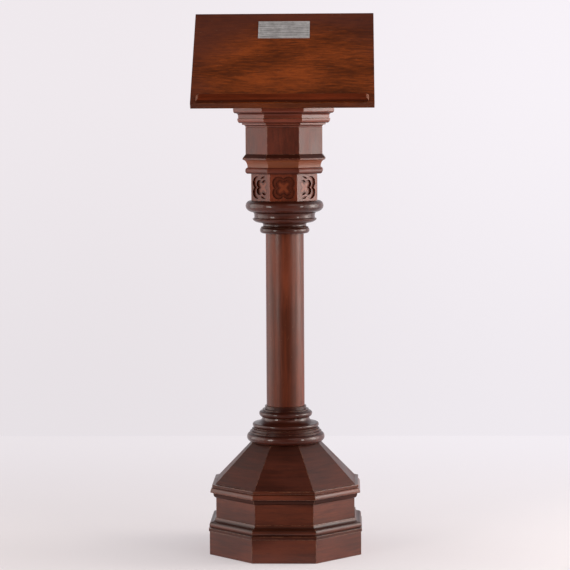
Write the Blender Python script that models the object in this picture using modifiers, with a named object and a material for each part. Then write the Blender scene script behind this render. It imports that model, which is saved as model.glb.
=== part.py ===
"""Gothic revival lectern: stepped octagonal base, turned column, carved octagonal capital and sloping desk.

The lectern stands on the XY plane with its column on the Z axis and its reader at -Y. Lengths are in metres.
"""

from math import asin, atan2, copysign, cos, pi, radians, sin, tan

import bmesh
import bpy
from mathutils import Matrix, Vector

MM = 0.001

# Joints and fineness
GLUE_LINE = 0.3 * MM
TENON_CLEARANCE = 0.3 * MM
SOCKET_RELIEF = 3.0 * MM
WELD = 0.001 * MM
CUT_MARGIN = 5.0 * MM
SIDES = 8
TURNED_STEPS = 40
ARC_STEPS = 5
LOBE_STEPS = 12

# Plinth: planted boards and the moulding that stands on them
PLINTH_FLATS = 374.0 * MM
PLINTH_BOARD_HEIGHT = 58.0 * MM
PLINTH_BOARD_THICK = 16.0 * MM
PLINTH_MOULDING_HEIGHT = 33.0 * MM
PLINTH_FILLET_HEIGHT = 8.0 * MM
PLINTH_FILLET_PROJECTION = 2.0 * MM
PLINTH_HOLLOW_HEIGHT = 2.0 * MM
PLINTH_HOLLOW_DEPTH = 3.6 * MM
PLINTH_NOSE_FALL = 5.0 * MM
PLINTH_OVOLO_HEIGHT = 8.5 * MM
PLINTH_OVOLO_DEPTH = 5.4 * MM
PLINTH_QUIRK = 1.6 * MM
PLINTH_TOP_LIP = 2.0 * MM

# Carcass boards behind the plinth and the waist moulding round their top
CARCASS_BOARD_THICK = 18.0 * MM
DADO_HEIGHT = 50.0 * MM
WAIST_MOULDING_HEIGHT = 33.0 * MM
WAIST_FILLET_HEIGHT = 6.5 * MM
WAIST_FILLET_PROJECTION = 9.5 * MM
WAIST_QUIRK = 1.8 * MM
WAIST_NOSE_HEIGHT = 12.0 * MM
WAIST_NOSE_PROJECTION = 14.0 * MM
WAIST_NOSE_EDGE = 1.4 * MM
WAIST_BED_PROJECTION = 7.0 * MM
WAIST_BED_DROP = 1.5 * MM

# Sloping boards and the block that closes them at the top
SLOPE_RISE = 97.0 * MM
SLOPE_FOOT_LAP = 1.5 * MM
SLOPE_TOP_FLATS = 165.6 * MM
SLOPE_BOARD_THICK = 16.0 * MM
CAP_BLOCK_HEIGHT = 45.0 * MM

# Turned base of the column, three discs from the bottom up
LOWER_TORUS_DIAMETER = 193.6 * MM
LOWER_TORUS_RISE = 10.4 * MM
LOWER_TORUS_FALL = 12.4 * MM
LOWER_SEAT_DIAMETER = 167.0 * MM
LOWER_STEP_DIAMETER = 178.0 * MM
LOWER_STEP_HEIGHT = 4.6 * MM
LOWER_FILLET_DIAMETER = 168.0 * MM
LOWER_FILLET_HEIGHT = 6.2 * MM
MIDDLE_FILLET_DIAMETER = 160.8 * MM
MIDDLE_FILLET_HEIGHT = 3.0 * MM
MIDDLE_QUIRK_DIAMETER = 156.4 * MM
MIDDLE_QUIRK_HEIGHT = 1.8 * MM
MIDDLE_BEAD_DIAMETER = 165.2 * MM
MIDDLE_BEAD_SEAT_DIAMETER = 158.0 * MM
MIDDLE_BEAD_HEIGHT = 9.2 * MM
SCOTIA_NECK_DIAMETER = 117.0 * MM
SCOTIA_HEIGHT = 14.4 * MM
UPPER_TORUS_DIAMETER = 132.4 * MM
UPPER_TORUS_RISE = 6.8 * MM
UPPER_TORUS_FALL = 9.4 * MM
UPPER_SEAT_DIAMETER = 114.0 * MM
UPPER_STEP_DIAMETER = 115.0 * MM
UPPER_STEP_HEIGHT = 3.9 * MM
UPPER_FILLET_DIAMETER = 103.0 * MM
UPPER_FILLET_HEIGHT = 8.1 * MM

# Shaft with a turned tenon at each end
SHAFT_FOOT_DIAMETER = 94.6 * MM
SHAFT_HEAD_DIAMETER = 94.2 * MM
SHAFT_LENGTH = 430.4 * MM
TENON_DIAMETER = 50.0 * MM
TENON_CHAMFER = 2.0 * MM
DRUM_SOCKET_DEPTH = 40.0 * MM

# Turned capital, three discs from the bottom up
NECK_RING_DIAMETER = 122.6 * MM
NECK_RING_HEIGHT = 16.4 * MM
NECK_SEAT_DIAMETER = 108.0 * MM
NECK_QUIRK_DIAMETER = 112.0 * MM
NECK_RIM_DIAMETER = 117.6 * MM
NECK_RIM_HEIGHT = 1.0 * MM
NECK_COVE_HEIGHT = 8.0 * MM
NECK_THROAT_DIAMETER = 106.8 * MM
DISC_SEAT_DIAMETER = 112.0 * MM
DISC_SEAT_HEIGHT = 0.8 * MM
DISC_DIAMETER = 158.4 * MM
DISC_OVOLO_HEIGHT = 12.0 * MM
DISC_COVE_HEIGHT = 14.3 * MM
DISC_TOP_DIAMETER = 150.0 * MM
CAPITAL_NECK_DIAMETER = 150.0 * MM
CAPITAL_NECK_HEIGHT = 1.0 * MM
CAPITAL_TORUS_DIAMETER = 192.8 * MM
CAPITAL_TORUS_RISE = 11.6 * MM
CAPITAL_TORUS_FALL = 15.0 * MM
CAPITAL_SEAT_DIAMETER = 168.0 * MM

# Drum with two quatrefoils, one in the other, carved into each side
DRUM_FLATS = 161.4 * MM
DRUM_HEIGHT = 66.5 * MM
FOIL_OFFSET = 12.3 * MM
FOIL_RADIUS = 15.5 * MM
FOIL_DEPTH = 8.0 * MM
PETAL_OFFSET = 9.9 * MM
PETAL_RADIUS = 10.1 * MM
PETAL_DEPTH = 5.0 * MM

# Band course between the two drums
ASTRAGAL_FLATS = 189.8 * MM
ASTRAGAL_SEAT_FLATS = 177.0 * MM
ASTRAGAL_HEIGHT = 15.2 * MM
BAND_COVE_FLATS = 178.6 * MM
BAND_COVE_HEIGHT = 19.5 * MM
BAND_DRIP_FLATS = 202.4 * MM
BAND_DRIP_HEIGHT = 3.8 * MM
BAND_CHAMFER_HEIGHT = 9.5 * MM

# Upper drum and the cornice in two layers
UPPER_DRUM_FLATS = 187.5 * MM
UPPER_DRUM_HEIGHT = 66.0 * MM
CORNICE_COVE_HEIGHT = 6.0 * MM
CORNICE_COVE_FLATS = 199.6 * MM
CORNICE_FILLET_FLATS = 204.4 * MM
CORNICE_FILLET_HEIGHT = 4.5 * MM
CORNICE_OVOLO_SEAT_FLATS = 215.0 * MM
CORNICE_OVOLO_FLATS = 226.8 * MM
CORNICE_OVOLO_HEIGHT = 11.0 * MM
TOP_QUIRK_FLATS = 222.8 * MM
TOP_QUIRK_HEIGHT = 6.5 * MM
TOP_CYMA_HEIGHT = 12.5 * MM
TOP_FLATS = 246.4 * MM
TOP_FILLET_HEIGHT = 6.5 * MM

# Desk: the box that carries it, the board, the ledge and the plaque
DESK_SLOPE = radians(45.0)
DESK_WIDTH = 443.0 * MM
DESK_LENGTH = 315.0 * MM
DESK_THICK = 18.0 * MM
DESK_EDGE_EASE = 1.2 * MM
DESK_OVERHANG = 14.0 * MM
DESK_ARRIS_DROP = 1.2 * MM
BOX_WIDTH = 164.0 * MM
BOX_DEPTH = 145.0 * MM
BOX_SET_BACK = 38.0 * MM
CHEEK_THICK = 18.0 * MM
RAIL_THICK = 18.0 * MM
LEDGE_LENGTH = 415.0 * MM
LEDGE_WIDTH = 19.0 * MM
LEDGE_HEIGHT = 11.5 * MM
LEDGE_MARGIN = 1.0 * MM
LEDGE_RECESS_DEPTH = 2.5 * MM
LEDGE_RECESS_HEIGHT = 3.2 * MM
LEDGE_NOSE_HEIGHT = 1.5 * MM
LEDGE_TOP_WIDTH = 5.0 * MM
PLAQUE_WIDTH = 127.0 * MM
PLAQUE_HEIGHT = 60.0 * MM
PLAQUE_THICK = 1.2 * MM
PLAQUE_DROP = 30.0 * MM

# Levels worked out from the heights above
HALF_SIDE = pi / SIDES
FRONT = -pi / 2
CARCASS_FACE = PLINTH_FLATS / 2 - PLINTH_BOARD_THICK - GLUE_LINE
PLINTH_MOULDING_TOP = PLINTH_BOARD_HEIGHT + PLINTH_MOULDING_HEIGHT
WAIST_BOTTOM = PLINTH_MOULDING_TOP + DADO_HEIGHT
BASE_TOP = WAIST_BOTTOM + WAIST_MOULDING_HEIGHT
SLOPE_TOP = BASE_TOP + SLOPE_RISE
LOWER_TORUS_LEVEL = SLOPE_TOP + LOWER_TORUS_FALL
LOWER_TOP = LOWER_TORUS_LEVEL + LOWER_TORUS_RISE + LOWER_STEP_HEIGHT + LOWER_FILLET_HEIGHT
MIDDLE_BEAD_BOTTOM = LOWER_TOP + MIDDLE_FILLET_HEIGHT + MIDDLE_QUIRK_HEIGHT
MIDDLE_TOP = MIDDLE_BEAD_BOTTOM + MIDDLE_BEAD_HEIGHT + SCOTIA_HEIGHT
UPPER_TORUS_LEVEL = MIDDLE_TOP + UPPER_TORUS_FALL
SHAFT_FOOT = UPPER_TORUS_LEVEL + UPPER_TORUS_RISE + UPPER_STEP_HEIGHT + UPPER_FILLET_HEIGHT
SHAFT_HEAD = SHAFT_FOOT + SHAFT_LENGTH
NECK_TOP = SHAFT_HEAD + NECK_RING_HEIGHT + NECK_RIM_HEIGHT + NECK_COVE_HEIGHT
DISC_TOP = NECK_TOP + DISC_SEAT_HEIGHT + DISC_OVOLO_HEIGHT + DISC_COVE_HEIGHT
CAPITAL_TORUS_LEVEL = DISC_TOP + CAPITAL_NECK_HEIGHT + CAPITAL_TORUS_FALL
DRUM_BOTTOM = CAPITAL_TORUS_LEVEL + CAPITAL_TORUS_RISE
DRUM_TOP = DRUM_BOTTOM + DRUM_HEIGHT
BAND_TOP = DRUM_TOP + ASTRAGAL_HEIGHT + BAND_COVE_HEIGHT + BAND_DRIP_HEIGHT + BAND_CHAMFER_HEIGHT
UPPER_DRUM_TOP = BAND_TOP + UPPER_DRUM_HEIGHT
CORNICE_TOP = UPPER_DRUM_TOP + CORNICE_COVE_HEIGHT + CORNICE_FILLET_HEIGHT + CORNICE_OVOLO_HEIGHT
TOP_PLATE_TOP = CORNICE_TOP + TOP_QUIRK_HEIGHT + TOP_CYMA_HEIGHT + TOP_FILLET_HEIGHT
DESK_ARRIS_Y = -(TOP_FLATS / 2 + DESK_OVERHANG)
DESK_ARRIS_Z = TOP_PLATE_TOP - DESK_ARRIS_DROP
BOX_FRONT_Y = -(TOP_FLATS / 2 - BOX_SET_BACK)
BOX_BACK_Y = BOX_FRONT_Y + BOX_DEPTH

# Turns that stand a flat outline upright: facing sideways round the base, or across the desk
ROUND_THE_BASE = Matrix.Rotation(pi / 2, 4, "X")
ACROSS_THE_DESK = Matrix(((0, 0, 1, 0), (1, 0, 0, 0), (0, 1, 0, 0), (0, 0, 0, 1)))


class Outline:
    """A profile drawn point by point in (out, up); going down, a half round swells outwards."""

    def __init__(self, out, up):
        self.points = [Vector((out, up))]

    def line(self, out, up):
        """Run straight to the point."""
        self.points.append(Vector((out, up)))
        return self

    def from_level(self, out, up):
        """Run a quarter ellipse that leaves level and arrives upright."""
        start = self.points[-1].copy()
        for step in range(1, ARC_STEPS + 1):
            angle = step / ARC_STEPS * pi / 2
            self.line(start.x + (out - start.x) * sin(angle), up + (start.y - up) * cos(angle))
        return self

    def from_upright(self, out, up):
        """Run a quarter ellipse that leaves upright and arrives level."""
        start = self.points[-1].copy()
        for step in range(1, ARC_STEPS + 1):
            angle = step / ARC_STEPS * pi / 2
            self.line(out + (start.x - out) * cos(angle), start.y + (up - start.y) * sin(angle))
        return self

    def half_round(self, out, up, swell):
        """Run half an ellipse to the point, swelling to the left of the way there."""
        start = self.points[-1].copy()
        way = Vector((out, up)) - start
        aside = Vector((-way.y, way.x)).normalized() * swell
        for step in range(1, 2 * ARC_STEPS + 1):
            angle = step / (2 * ARC_STEPS) * pi
            point = start + way * (1 - cos(angle)) / 2 + aside * sin(angle)
            self.points.append(point)
        return self


def remove_all_objects():
    for obj in list(bpy.data.objects):
        bpy.data.objects.remove(obj, do_unlink=True)


def new_collection(name):
    collection = bpy.data.collections.new(name)
    bpy.context.scene.collection.children.link(collection)
    return collection


def new_material(name, colour, roughness, metallic=0.0):
    material = bpy.data.materials.new(name)
    material.use_nodes = True
    shader = material.node_tree.nodes["Principled BSDF"]
    shader.inputs["Base Color"].default_value = (*colour, 1.0)
    shader.inputs["Roughness"].default_value = roughness
    shader.inputs["Metallic"].default_value = metallic
    return material


def add_part(name, mesh, material):
    """Put one named sub-part with its material in the lectern's collection."""
    part = bpy.data.objects.new(name, mesh)
    if not mesh.materials:
        mesh.materials.append(material)
    parts.objects.link(part)
    return part


def add_cutter(name, mesh):
    cutter = bpy.data.objects.new(name, mesh)
    cutter.hide_render = True
    cutter.display_type = "WIRE"
    cutters.objects.link(cutter)
    return cutter


def cut(part, cutter):
    """Take one cutter's shape away from a part."""
    modifier = part.modifiers.new(cutter.name, "BOOLEAN")
    modifier.operation = "DIFFERENCE"
    modifier.solver = "EXACT"
    modifier.object = cutter


def flat_mesh(name, points, thickness):
    """Make a plate of a closed outline, centred on its thickness."""
    curve = bpy.data.curves.new(name, "CURVE")
    curve.dimensions = "2D"
    curve.fill_mode = "BOTH"
    curve.extrude = thickness / 2
    spline = curve.splines.new("POLY")
    spline.points.add(len(points) - 1)
    for spline_point, point in zip(spline.points, points):
        spline_point.co = (point.x, point.y, 0.0, 1.0)
    spline.use_cyclic_u = True
    guide = bpy.data.objects.new(name, curve)
    bpy.context.scene.collection.objects.link(guide)
    depsgraph = bpy.context.evaluated_depsgraph_get()
    mesh = bpy.data.meshes.new_from_object(guide.evaluated_get(depsgraph))
    mesh.name = name
    bpy.data.objects.remove(guide, do_unlink=True)
    bpy.data.curves.remove(curve)
    work = bmesh.new()
    work.from_mesh(mesh)
    bmesh.ops.remove_doubles(work, verts=work.verts, dist=WELD)
    bmesh.ops.recalc_face_normals(work, faces=work.faces)
    work.to_mesh(mesh)
    work.free()
    return mesh


def mitred_mesh(name, outline):
    """Make one side's length of an octagon from its profile, cut to the mitre at both ends."""
    longest = max(point.x for point in outline.points) * tan(HALF_SIDE) + CUT_MARGIN
    mesh = flat_mesh(name, outline.points, 2 * longest)
    mesh.transform(ROUND_THE_BASE)
    work = bmesh.new()
    work.from_mesh(mesh)
    for hand in (-1, 1):
        across = Vector((-sin(HALF_SIDE), hand * cos(HALF_SIDE), 0.0))
        geometry = work.verts[:] + work.edges[:] + work.faces[:]
        bmesh.ops.bisect_plane(
            work, geom=geometry, dist=WELD, plane_co=across * -GLUE_LINE / 2, plane_no=across, clear_outer=True)
        open_edges = [edge for edge in work.edges if edge.is_boundary]
        bmesh.ops.holes_fill(work, edges=open_edges)
    bmesh.ops.recalc_face_normals(work, faces=work.faces)
    work.to_mesh(mesh)
    work.free()
    return mesh


def add_mitred_ring(name, outline, material):
    """Set eight mitred lengths round the base, the first at the front."""
    mesh = mitred_mesh(name, outline)
    for side in range(SIDES):
        length = add_part(f"{name}_{side + 1}", mesh, material)
        length.rotation_euler.z = FRONT + side * 2 * HALF_SIDE


def add_turned(name, outline, material, steps=TURNED_STEPS, closed=True, out_scale=1.0):
    """Turn a profile about the column's axis; an open profile starts and ends on the axis."""
    mesh = bpy.data.meshes.new(name)
    work = bmesh.new()
    verts = [work.verts.new((point.x * out_scale, 0.0, point.y)) for point in outline.points]
    for first, second in zip(verts, verts[1:]):
        work.edges.new((first, second))
    if closed:
        work.edges.new((verts[-1], verts[0]))
    work.to_mesh(mesh)
    work.free()
    part = add_part(name, mesh, material)
    screw = part.modifiers.new("Turning", "SCREW")
    screw.axis = "Z"
    screw.angle = 2 * pi
    screw.steps = steps
    screw.render_steps = steps
    screw.use_merge_vertices = True
    screw.merge_threshold = WELD
    screw.use_smooth_shade = steps > SIDES
    return part


def add_octagonal(name, outline, material):
    """Build an octagonal block from its profile of half widths across flats, with a flat side to the front."""
    part = add_turned(name, outline, material, steps=SIDES, closed=False, out_scale=1 / cos(HALF_SIDE))
    part.rotation_euler.z = HALF_SIDE
    return part


def bore_cutter(name, diameter, bottom, top):
    mesh = bpy.data.meshes.new(name)
    work = bmesh.new()
    bmesh.ops.create_cone(
        work, cap_ends=True, segments=TURNED_STEPS, radius1=diameter / 2, radius2=diameter / 2, depth=top - bottom)
    bmesh.ops.translate(work, verts=work.verts, vec=(0.0, 0.0, (top + bottom) / 2))
    work.to_mesh(mesh)
    work.free()
    return add_cutter(name, mesh)


def box_mesh(name, size_x, size_y, size_z):
    """Make a box that stands on its local origin, centred in X, with Y and Z from zero up."""
    mesh = bpy.data.meshes.new(name)
    work = bmesh.new()
    bmesh.ops.create_cube(work, size=1.0)
    bmesh.ops.translate(work, verts=work.verts, vec=(0.0, 0.5, 0.5))
    bmesh.ops.scale(work, verts=work.verts, vec=(size_x, size_y, size_z))
    work.to_mesh(mesh)
    work.free()
    return mesh


def build_plinth(wood):
    """Make the plinth boards and the moulding planted on their top edge."""
    face = PLINTH_FLATS / 2
    board = Outline(face, PLINTH_BOARD_HEIGHT)
    board.line(face, 0.0)
    board.line(face - PLINTH_BOARD_THICK, 0.0)
    board.line(face - PLINTH_BOARD_THICK, PLINTH_BOARD_HEIGHT)
    add_mitred_ring("plinth_board", board, wood)

    back = CARCASS_FACE + GLUE_LINE
    fillet = face + PLINTH_FILLET_PROJECTION
    ovolo = fillet - PLINTH_QUIRK
    fillet_top = PLINTH_BOARD_HEIGHT + PLINTH_FILLET_HEIGHT
    hollow_top = fillet_top + PLINTH_HOLLOW_HEIGHT
    nose_level = hollow_top + PLINTH_NOSE_FALL
    ovolo_top = nose_level + PLINTH_OVOLO_HEIGHT
    moulding = Outline(back, PLINTH_MOULDING_TOP)
    moulding.line(back + PLINTH_TOP_LIP, PLINTH_MOULDING_TOP)
    moulding.from_upright(ovolo - PLINTH_OVOLO_DEPTH - PLINTH_QUIRK, ovolo_top)
    moulding.line(ovolo - PLINTH_OVOLO_DEPTH, ovolo_top)
    moulding.from_level(ovolo, nose_level)
    moulding.from_upright(ovolo - PLINTH_HOLLOW_DEPTH, hollow_top)
    moulding.line(ovolo - PLINTH_HOLLOW_DEPTH, fillet_top)
    moulding.line(fillet, fillet_top)
    moulding.line(fillet, PLINTH_BOARD_HEIGHT + GLUE_LINE)
    moulding.line(back, PLINTH_BOARD_HEIGHT + GLUE_LINE)
    add_mitred_ring("plinth_moulding", moulding, wood)


def build_carcass(wood):
    """Make the carcass boards and the waist moulding round their top edge."""
    board = Outline(CARCASS_FACE, BASE_TOP)
    board.line(CARCASS_FACE, 0.0)
    board.line(CARCASS_FACE - CARCASS_BOARD_THICK, 0.0)
    board.line(CARCASS_FACE - CARCASS_BOARD_THICK, BASE_TOP)
    add_mitred_ring("carcass_board", board, wood)

    back = CARCASS_FACE + GLUE_LINE
    fillet = CARCASS_FACE + WAIST_FILLET_PROJECTION
    nose = CARCASS_FACE + WAIST_NOSE_PROJECTION
    fillet_bottom = BASE_TOP - WAIST_FILLET_HEIGHT
    nose_level = fillet_bottom - WAIST_NOSE_HEIGHT
    moulding = Outline(back, BASE_TOP)
    moulding.line(fillet, BASE_TOP)
    moulding.line(fillet, fillet_bottom)
    moulding.line(fillet - WAIST_QUIRK, fillet_bottom)
    moulding.line(fillet - WAIST_QUIRK, fillet_bottom - WAIST_QUIRK)
    moulding.from_level(nose, nose_level)
    moulding.line(nose, nose_level - WAIST_NOSE_EDGE)
    moulding.line(CARCASS_FACE + WAIST_BED_PROJECTION, nose_level - WAIST_NOSE_EDGE - WAIST_BED_DROP)
    moulding.from_upright(back, WAIST_BOTTOM)
    add_mitred_ring("waist_moulding", moulding, wood)


def build_slope(wood):
    """Make the sloping boards and the bored block that closes them under the column."""
    foot = CARCASS_FACE + SLOPE_FOOT_LAP
    head = SLOPE_TOP_FLATS / 2
    bottom = BASE_TOP + GLUE_LINE
    pitch = atan2(SLOPE_TOP - bottom, foot - head)
    level_thick = SLOPE_BOARD_THICK / sin(pitch)
    board = Outline(head, SLOPE_TOP)
    board.line(foot, bottom)
    board.line(foot - level_thick, bottom)
    board.line(head - level_thick, SLOPE_TOP)
    add_mitred_ring("slope_board", board, wood)

    block_head = head - level_thick - GLUE_LINE / sin(pitch)
    block_foot = block_head + CAP_BLOCK_HEIGHT / tan(pitch)
    profile = Outline(0.0, SLOPE_TOP)
    profile.line(block_head, SLOPE_TOP)
    profile.line(block_foot, SLOPE_TOP - CAP_BLOCK_HEIGHT)
    profile.line(0.0, SLOPE_TOP - CAP_BLOCK_HEIGHT)
    block = add_octagonal("cap_block", profile, wood)
    bore = TENON_DIAMETER + 2 * TENON_CLEARANCE
    bottom = SLOPE_TOP - CAP_BLOCK_HEIGHT - CUT_MARGIN
    cut(block, bore_cutter("cap_block_bore", bore, bottom, SLOPE_TOP + CUT_MARGIN))


def add_disc(name, outline, top, bottom, material):
    """Close a turned profile round the bore for the shaft's tenon."""
    bore = TENON_DIAMETER / 2 + TENON_CLEARANCE
    outline.line(bore, bottom)
    outline.line(bore, top)
    add_turned(name, outline, material)


def build_column_base(wood):
    """Turn the three discs under the shaft."""
    bottom = SLOPE_TOP + GLUE_LINE
    step_bottom = LOWER_TORUS_LEVEL + LOWER_TORUS_RISE
    step_top = step_bottom + LOWER_STEP_HEIGHT
    lower = Outline(LOWER_FILLET_DIAMETER / 2, LOWER_TOP)
    lower.line(LOWER_FILLET_DIAMETER / 2, step_top)
    lower.line(LOWER_STEP_DIAMETER / 2, step_top)
    lower.line(LOWER_STEP_DIAMETER / 2, step_bottom)
    lower.from_level(LOWER_TORUS_DIAMETER / 2, LOWER_TORUS_LEVEL)
    lower.from_upright(LOWER_SEAT_DIAMETER / 2, bottom)
    add_disc("column_base_lower", lower, LOWER_TOP, bottom, wood)

    bottom = LOWER_TOP + GLUE_LINE
    fillet = MIDDLE_FILLET_DIAMETER / 2
    fillet_top = LOWER_TOP + MIDDLE_FILLET_HEIGHT
    seat = MIDDLE_BEAD_SEAT_DIAMETER / 2
    middle = Outline(SCOTIA_NECK_DIAMETER / 2, MIDDLE_TOP)
    middle.from_upright(seat, MIDDLE_TOP - SCOTIA_HEIGHT)
    middle.half_round(seat, MIDDLE_BEAD_BOTTOM, MIDDLE_BEAD_DIAMETER / 2 - seat)
    middle.line(MIDDLE_QUIRK_DIAMETER / 2, fillet_top)
    middle.line(fillet, fillet_top)
    middle.line(fillet, bottom)
    add_disc("column_base_middle", middle, MIDDLE_TOP, bottom, wood)

    bottom = MIDDLE_TOP + GLUE_LINE
    step_bottom = UPPER_TORUS_LEVEL + UPPER_TORUS_RISE
    step_top = step_bottom + UPPER_STEP_HEIGHT
    upper = Outline(UPPER_FILLET_DIAMETER / 2, SHAFT_FOOT)
    upper.line(UPPER_FILLET_DIAMETER / 2, step_top)
    upper.line(UPPER_STEP_DIAMETER / 2, step_top)
    upper.line(UPPER_STEP_DIAMETER / 2, step_bottom)
    upper.from_level(UPPER_TORUS_DIAMETER / 2, UPPER_TORUS_LEVEL)
    upper.from_upright(UPPER_SEAT_DIAMETER / 2, bottom)
    add_disc("column_base_upper", upper, SHAFT_FOOT, bottom, wood)


def build_shaft(wood):
    """Turn the shaft with its foot tenon down to the cap block and its head tenon up into the drum."""
    tenon = TENON_DIAMETER / 2
    head_end = DRUM_BOTTOM + DRUM_SOCKET_DEPTH - SOCKET_RELIEF
    foot_end = SLOPE_TOP - CAP_BLOCK_HEIGHT
    profile = Outline(0.0, head_end)
    profile.line(tenon - TENON_CHAMFER, head_end)
    profile.line(tenon, head_end - TENON_CHAMFER)
    profile.line(tenon, SHAFT_HEAD)
    profile.line(SHAFT_HEAD_DIAMETER / 2, SHAFT_HEAD)
    profile.line(SHAFT_FOOT_DIAMETER / 2, SHAFT_FOOT + GLUE_LINE)
    profile.line(tenon, SHAFT_FOOT + GLUE_LINE)
    profile.line(tenon, foot_end + TENON_CHAMFER)
    profile.line(tenon - TENON_CHAMFER, foot_end)
    profile.line(0.0, foot_end)
    add_turned("shaft", profile, wood, closed=False)


def build_turned_capital(wood):
    """Turn the three discs over the shaft."""
    bottom = SHAFT_HEAD + GLUE_LINE
    quirk = NECK_QUIRK_DIAMETER / 2
    seat = NECK_SEAT_DIAMETER / 2
    ring_top = SHAFT_HEAD + NECK_RING_HEIGHT
    neck = Outline(NECK_THROAT_DIAMETER / 2, NECK_TOP)
    neck.from_upright(NECK_RIM_DIAMETER / 2, ring_top + NECK_RIM_HEIGHT)
    neck.line(NECK_RIM_DIAMETER / 2, ring_top)
    neck.line(quirk, ring_top)
    neck.half_round(seat, bottom, NECK_RING_DIAMETER / 2 - (quirk + seat) / 2)
    add_disc("neck_ring", neck, NECK_TOP, bottom, wood)

    bottom = NECK_TOP + GLUE_LINE
    seat_top = NECK_TOP + DISC_SEAT_HEIGHT
    disc = Outline(DISC_TOP_DIAMETER / 2, DISC_TOP)
    disc.from_upright(DISC_DIAMETER / 2, seat_top + DISC_OVOLO_HEIGHT)
    disc.from_upright(DISC_SEAT_DIAMETER / 2, seat_top)
    disc.line(DISC_SEAT_DIAMETER / 2, bottom)
    add_disc("capital_disc", disc, DISC_TOP, bottom, wood)

    bottom = DISC_TOP + GLUE_LINE
    torus = Outline(CAPITAL_SEAT_DIAMETER / 2, DRUM_BOTTOM)
    torus.from_level(CAPITAL_TORUS_DIAMETER / 2, CAPITAL_TORUS_LEVEL)
    torus.from_upright(CAPITAL_NECK_DIAMETER / 2, DISC_TOP + CAPITAL_NECK_HEIGHT)
    torus.line(CAPITAL_NECK_DIAMETER / 2, bottom)
    add_disc("capital_torus", torus, DRUM_BOTTOM, bottom, wood)


def quatrefoil(offset, radius):
    """Trace four lobes centred on the diagonals, which meet in sharp cusps."""
    opening = asin(offset / radius)
    sweep = pi / 2 + 2 * opening
    points = []
    for lobe in range(4):
        quarter = lobe * pi / 2
        centre = Matrix.Rotation(quarter, 2) @ Vector((offset, offset))
        for step in range(LOBE_STEPS):
            angle = quarter - opening + sweep * step / LOBE_STEPS
            points.append(centre + Vector((cos(angle), sin(angle))) * radius)
    return points


def build_carved_drum(wood):
    """Build the drum, bored for the shaft's head, with two quatrefoils carved into each side."""
    profile = Outline(0.0, DRUM_TOP)
    profile.line(DRUM_FLATS / 2, DRUM_TOP)
    profile.line(DRUM_FLATS / 2, DRUM_BOTTOM + GLUE_LINE)
    profile.line(0.0, DRUM_BOTTOM + GLUE_LINE)
    drum = add_octagonal("carved_drum", profile, wood)
    recesses = {
        "foil": (quatrefoil(FOIL_OFFSET, FOIL_RADIUS), FOIL_DEPTH),
        "petal": (quatrefoil(PETAL_OFFSET, PETAL_RADIUS), FOIL_DEPTH + PETAL_DEPTH),
    }
    middle = (DRUM_TOP + DRUM_BOTTOM) / 2
    for name, (points, depth) in recesses.items():
        recess = flat_mesh(name, points, 2 * depth)
        recess.transform(ACROSS_THE_DESK)
        for side in range(SIDES):
            turn = FRONT + side * 2 * HALF_SIDE
            cutter = add_cutter(f"{name}_{side + 1}", recess)
            cutter.rotation_euler.z = turn
            cutter.location = (cos(turn) * DRUM_FLATS / 2, sin(turn) * DRUM_FLATS / 2, middle)
            cut(drum, cutter)
    bore = TENON_DIAMETER + 2 * TENON_CLEARANCE
    cut(drum, bore_cutter("drum_socket", bore, DRUM_BOTTOM - CUT_MARGIN, DRUM_BOTTOM + DRUM_SOCKET_DEPTH))


def build_band_and_upper_drum(wood):
    """Build the moulded band course and the plain drum on it."""
    bottom = DRUM_TOP + GLUE_LINE
    astragal_top = DRUM_TOP + ASTRAGAL_HEIGHT
    drip_bottom = astragal_top + BAND_COVE_HEIGHT
    drip_top = drip_bottom + BAND_DRIP_HEIGHT
    seat = ASTRAGAL_SEAT_FLATS / 2
    cove = BAND_COVE_FLATS / 2
    band = Outline(0.0, BAND_TOP)
    band.line(UPPER_DRUM_FLATS / 2, BAND_TOP)
    band.line(BAND_DRIP_FLATS / 2, drip_top)
    band.line(BAND_DRIP_FLATS / 2, drip_bottom)
    band.from_level(cove, astragal_top)
    band.half_round(seat, bottom, ASTRAGAL_FLATS / 2 - (cove + seat) / 2)
    band.line(0.0, bottom)
    add_octagonal("band_course", band, wood)

    drum = Outline(0.0, UPPER_DRUM_TOP)
    drum.line(UPPER_DRUM_FLATS / 2, UPPER_DRUM_TOP)
    drum.line(UPPER_DRUM_FLATS / 2, BAND_TOP + GLUE_LINE)
    drum.line(0.0, BAND_TOP + GLUE_LINE)
    add_octagonal("upper_drum", drum, wood)


def build_cornice(wood):
    """Build the two moulded layers under the desk."""
    bottom = UPPER_DRUM_TOP + GLUE_LINE
    cove_top = UPPER_DRUM_TOP + CORNICE_COVE_HEIGHT
    fillet_top = cove_top + CORNICE_FILLET_HEIGHT
    lower = Outline(0.0, CORNICE_TOP)
    lower.line(CORNICE_OVOLO_FLATS / 2, CORNICE_TOP)
    lower.from_upright(CORNICE_OVOLO_SEAT_FLATS / 2, fillet_top)
    lower.line(CORNICE_FILLET_FLATS / 2, fillet_top)
    lower.line(CORNICE_FILLET_FLATS / 2, cove_top)
    lower.line(CORNICE_COVE_FLATS / 2, cove_top)
    lower.from_level(UPPER_DRUM_FLATS / 2, bottom)
    lower.line(0.0, bottom)
    add_octagonal("cornice_lower", lower, wood)

    bottom = CORNICE_TOP + GLUE_LINE
    quirk = TOP_QUIRK_FLATS / 2
    top = TOP_FLATS / 2
    quirk_top = CORNICE_TOP + TOP_QUIRK_HEIGHT
    fillet_bottom = quirk_top + TOP_CYMA_HEIGHT
    upper = Outline(0.0, TOP_PLATE_TOP)
    upper.line(top, TOP_PLATE_TOP)
    upper.line(top, fillet_bottom)
    upper.from_upright((top + quirk) / 2, (fillet_bottom + quirk_top) / 2)
    upper.from_level(quirk, quirk_top)
    upper.line(quirk, bottom)
    upper.line(0.0, bottom)
    add_octagonal("cornice_upper", upper, wood)


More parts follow.
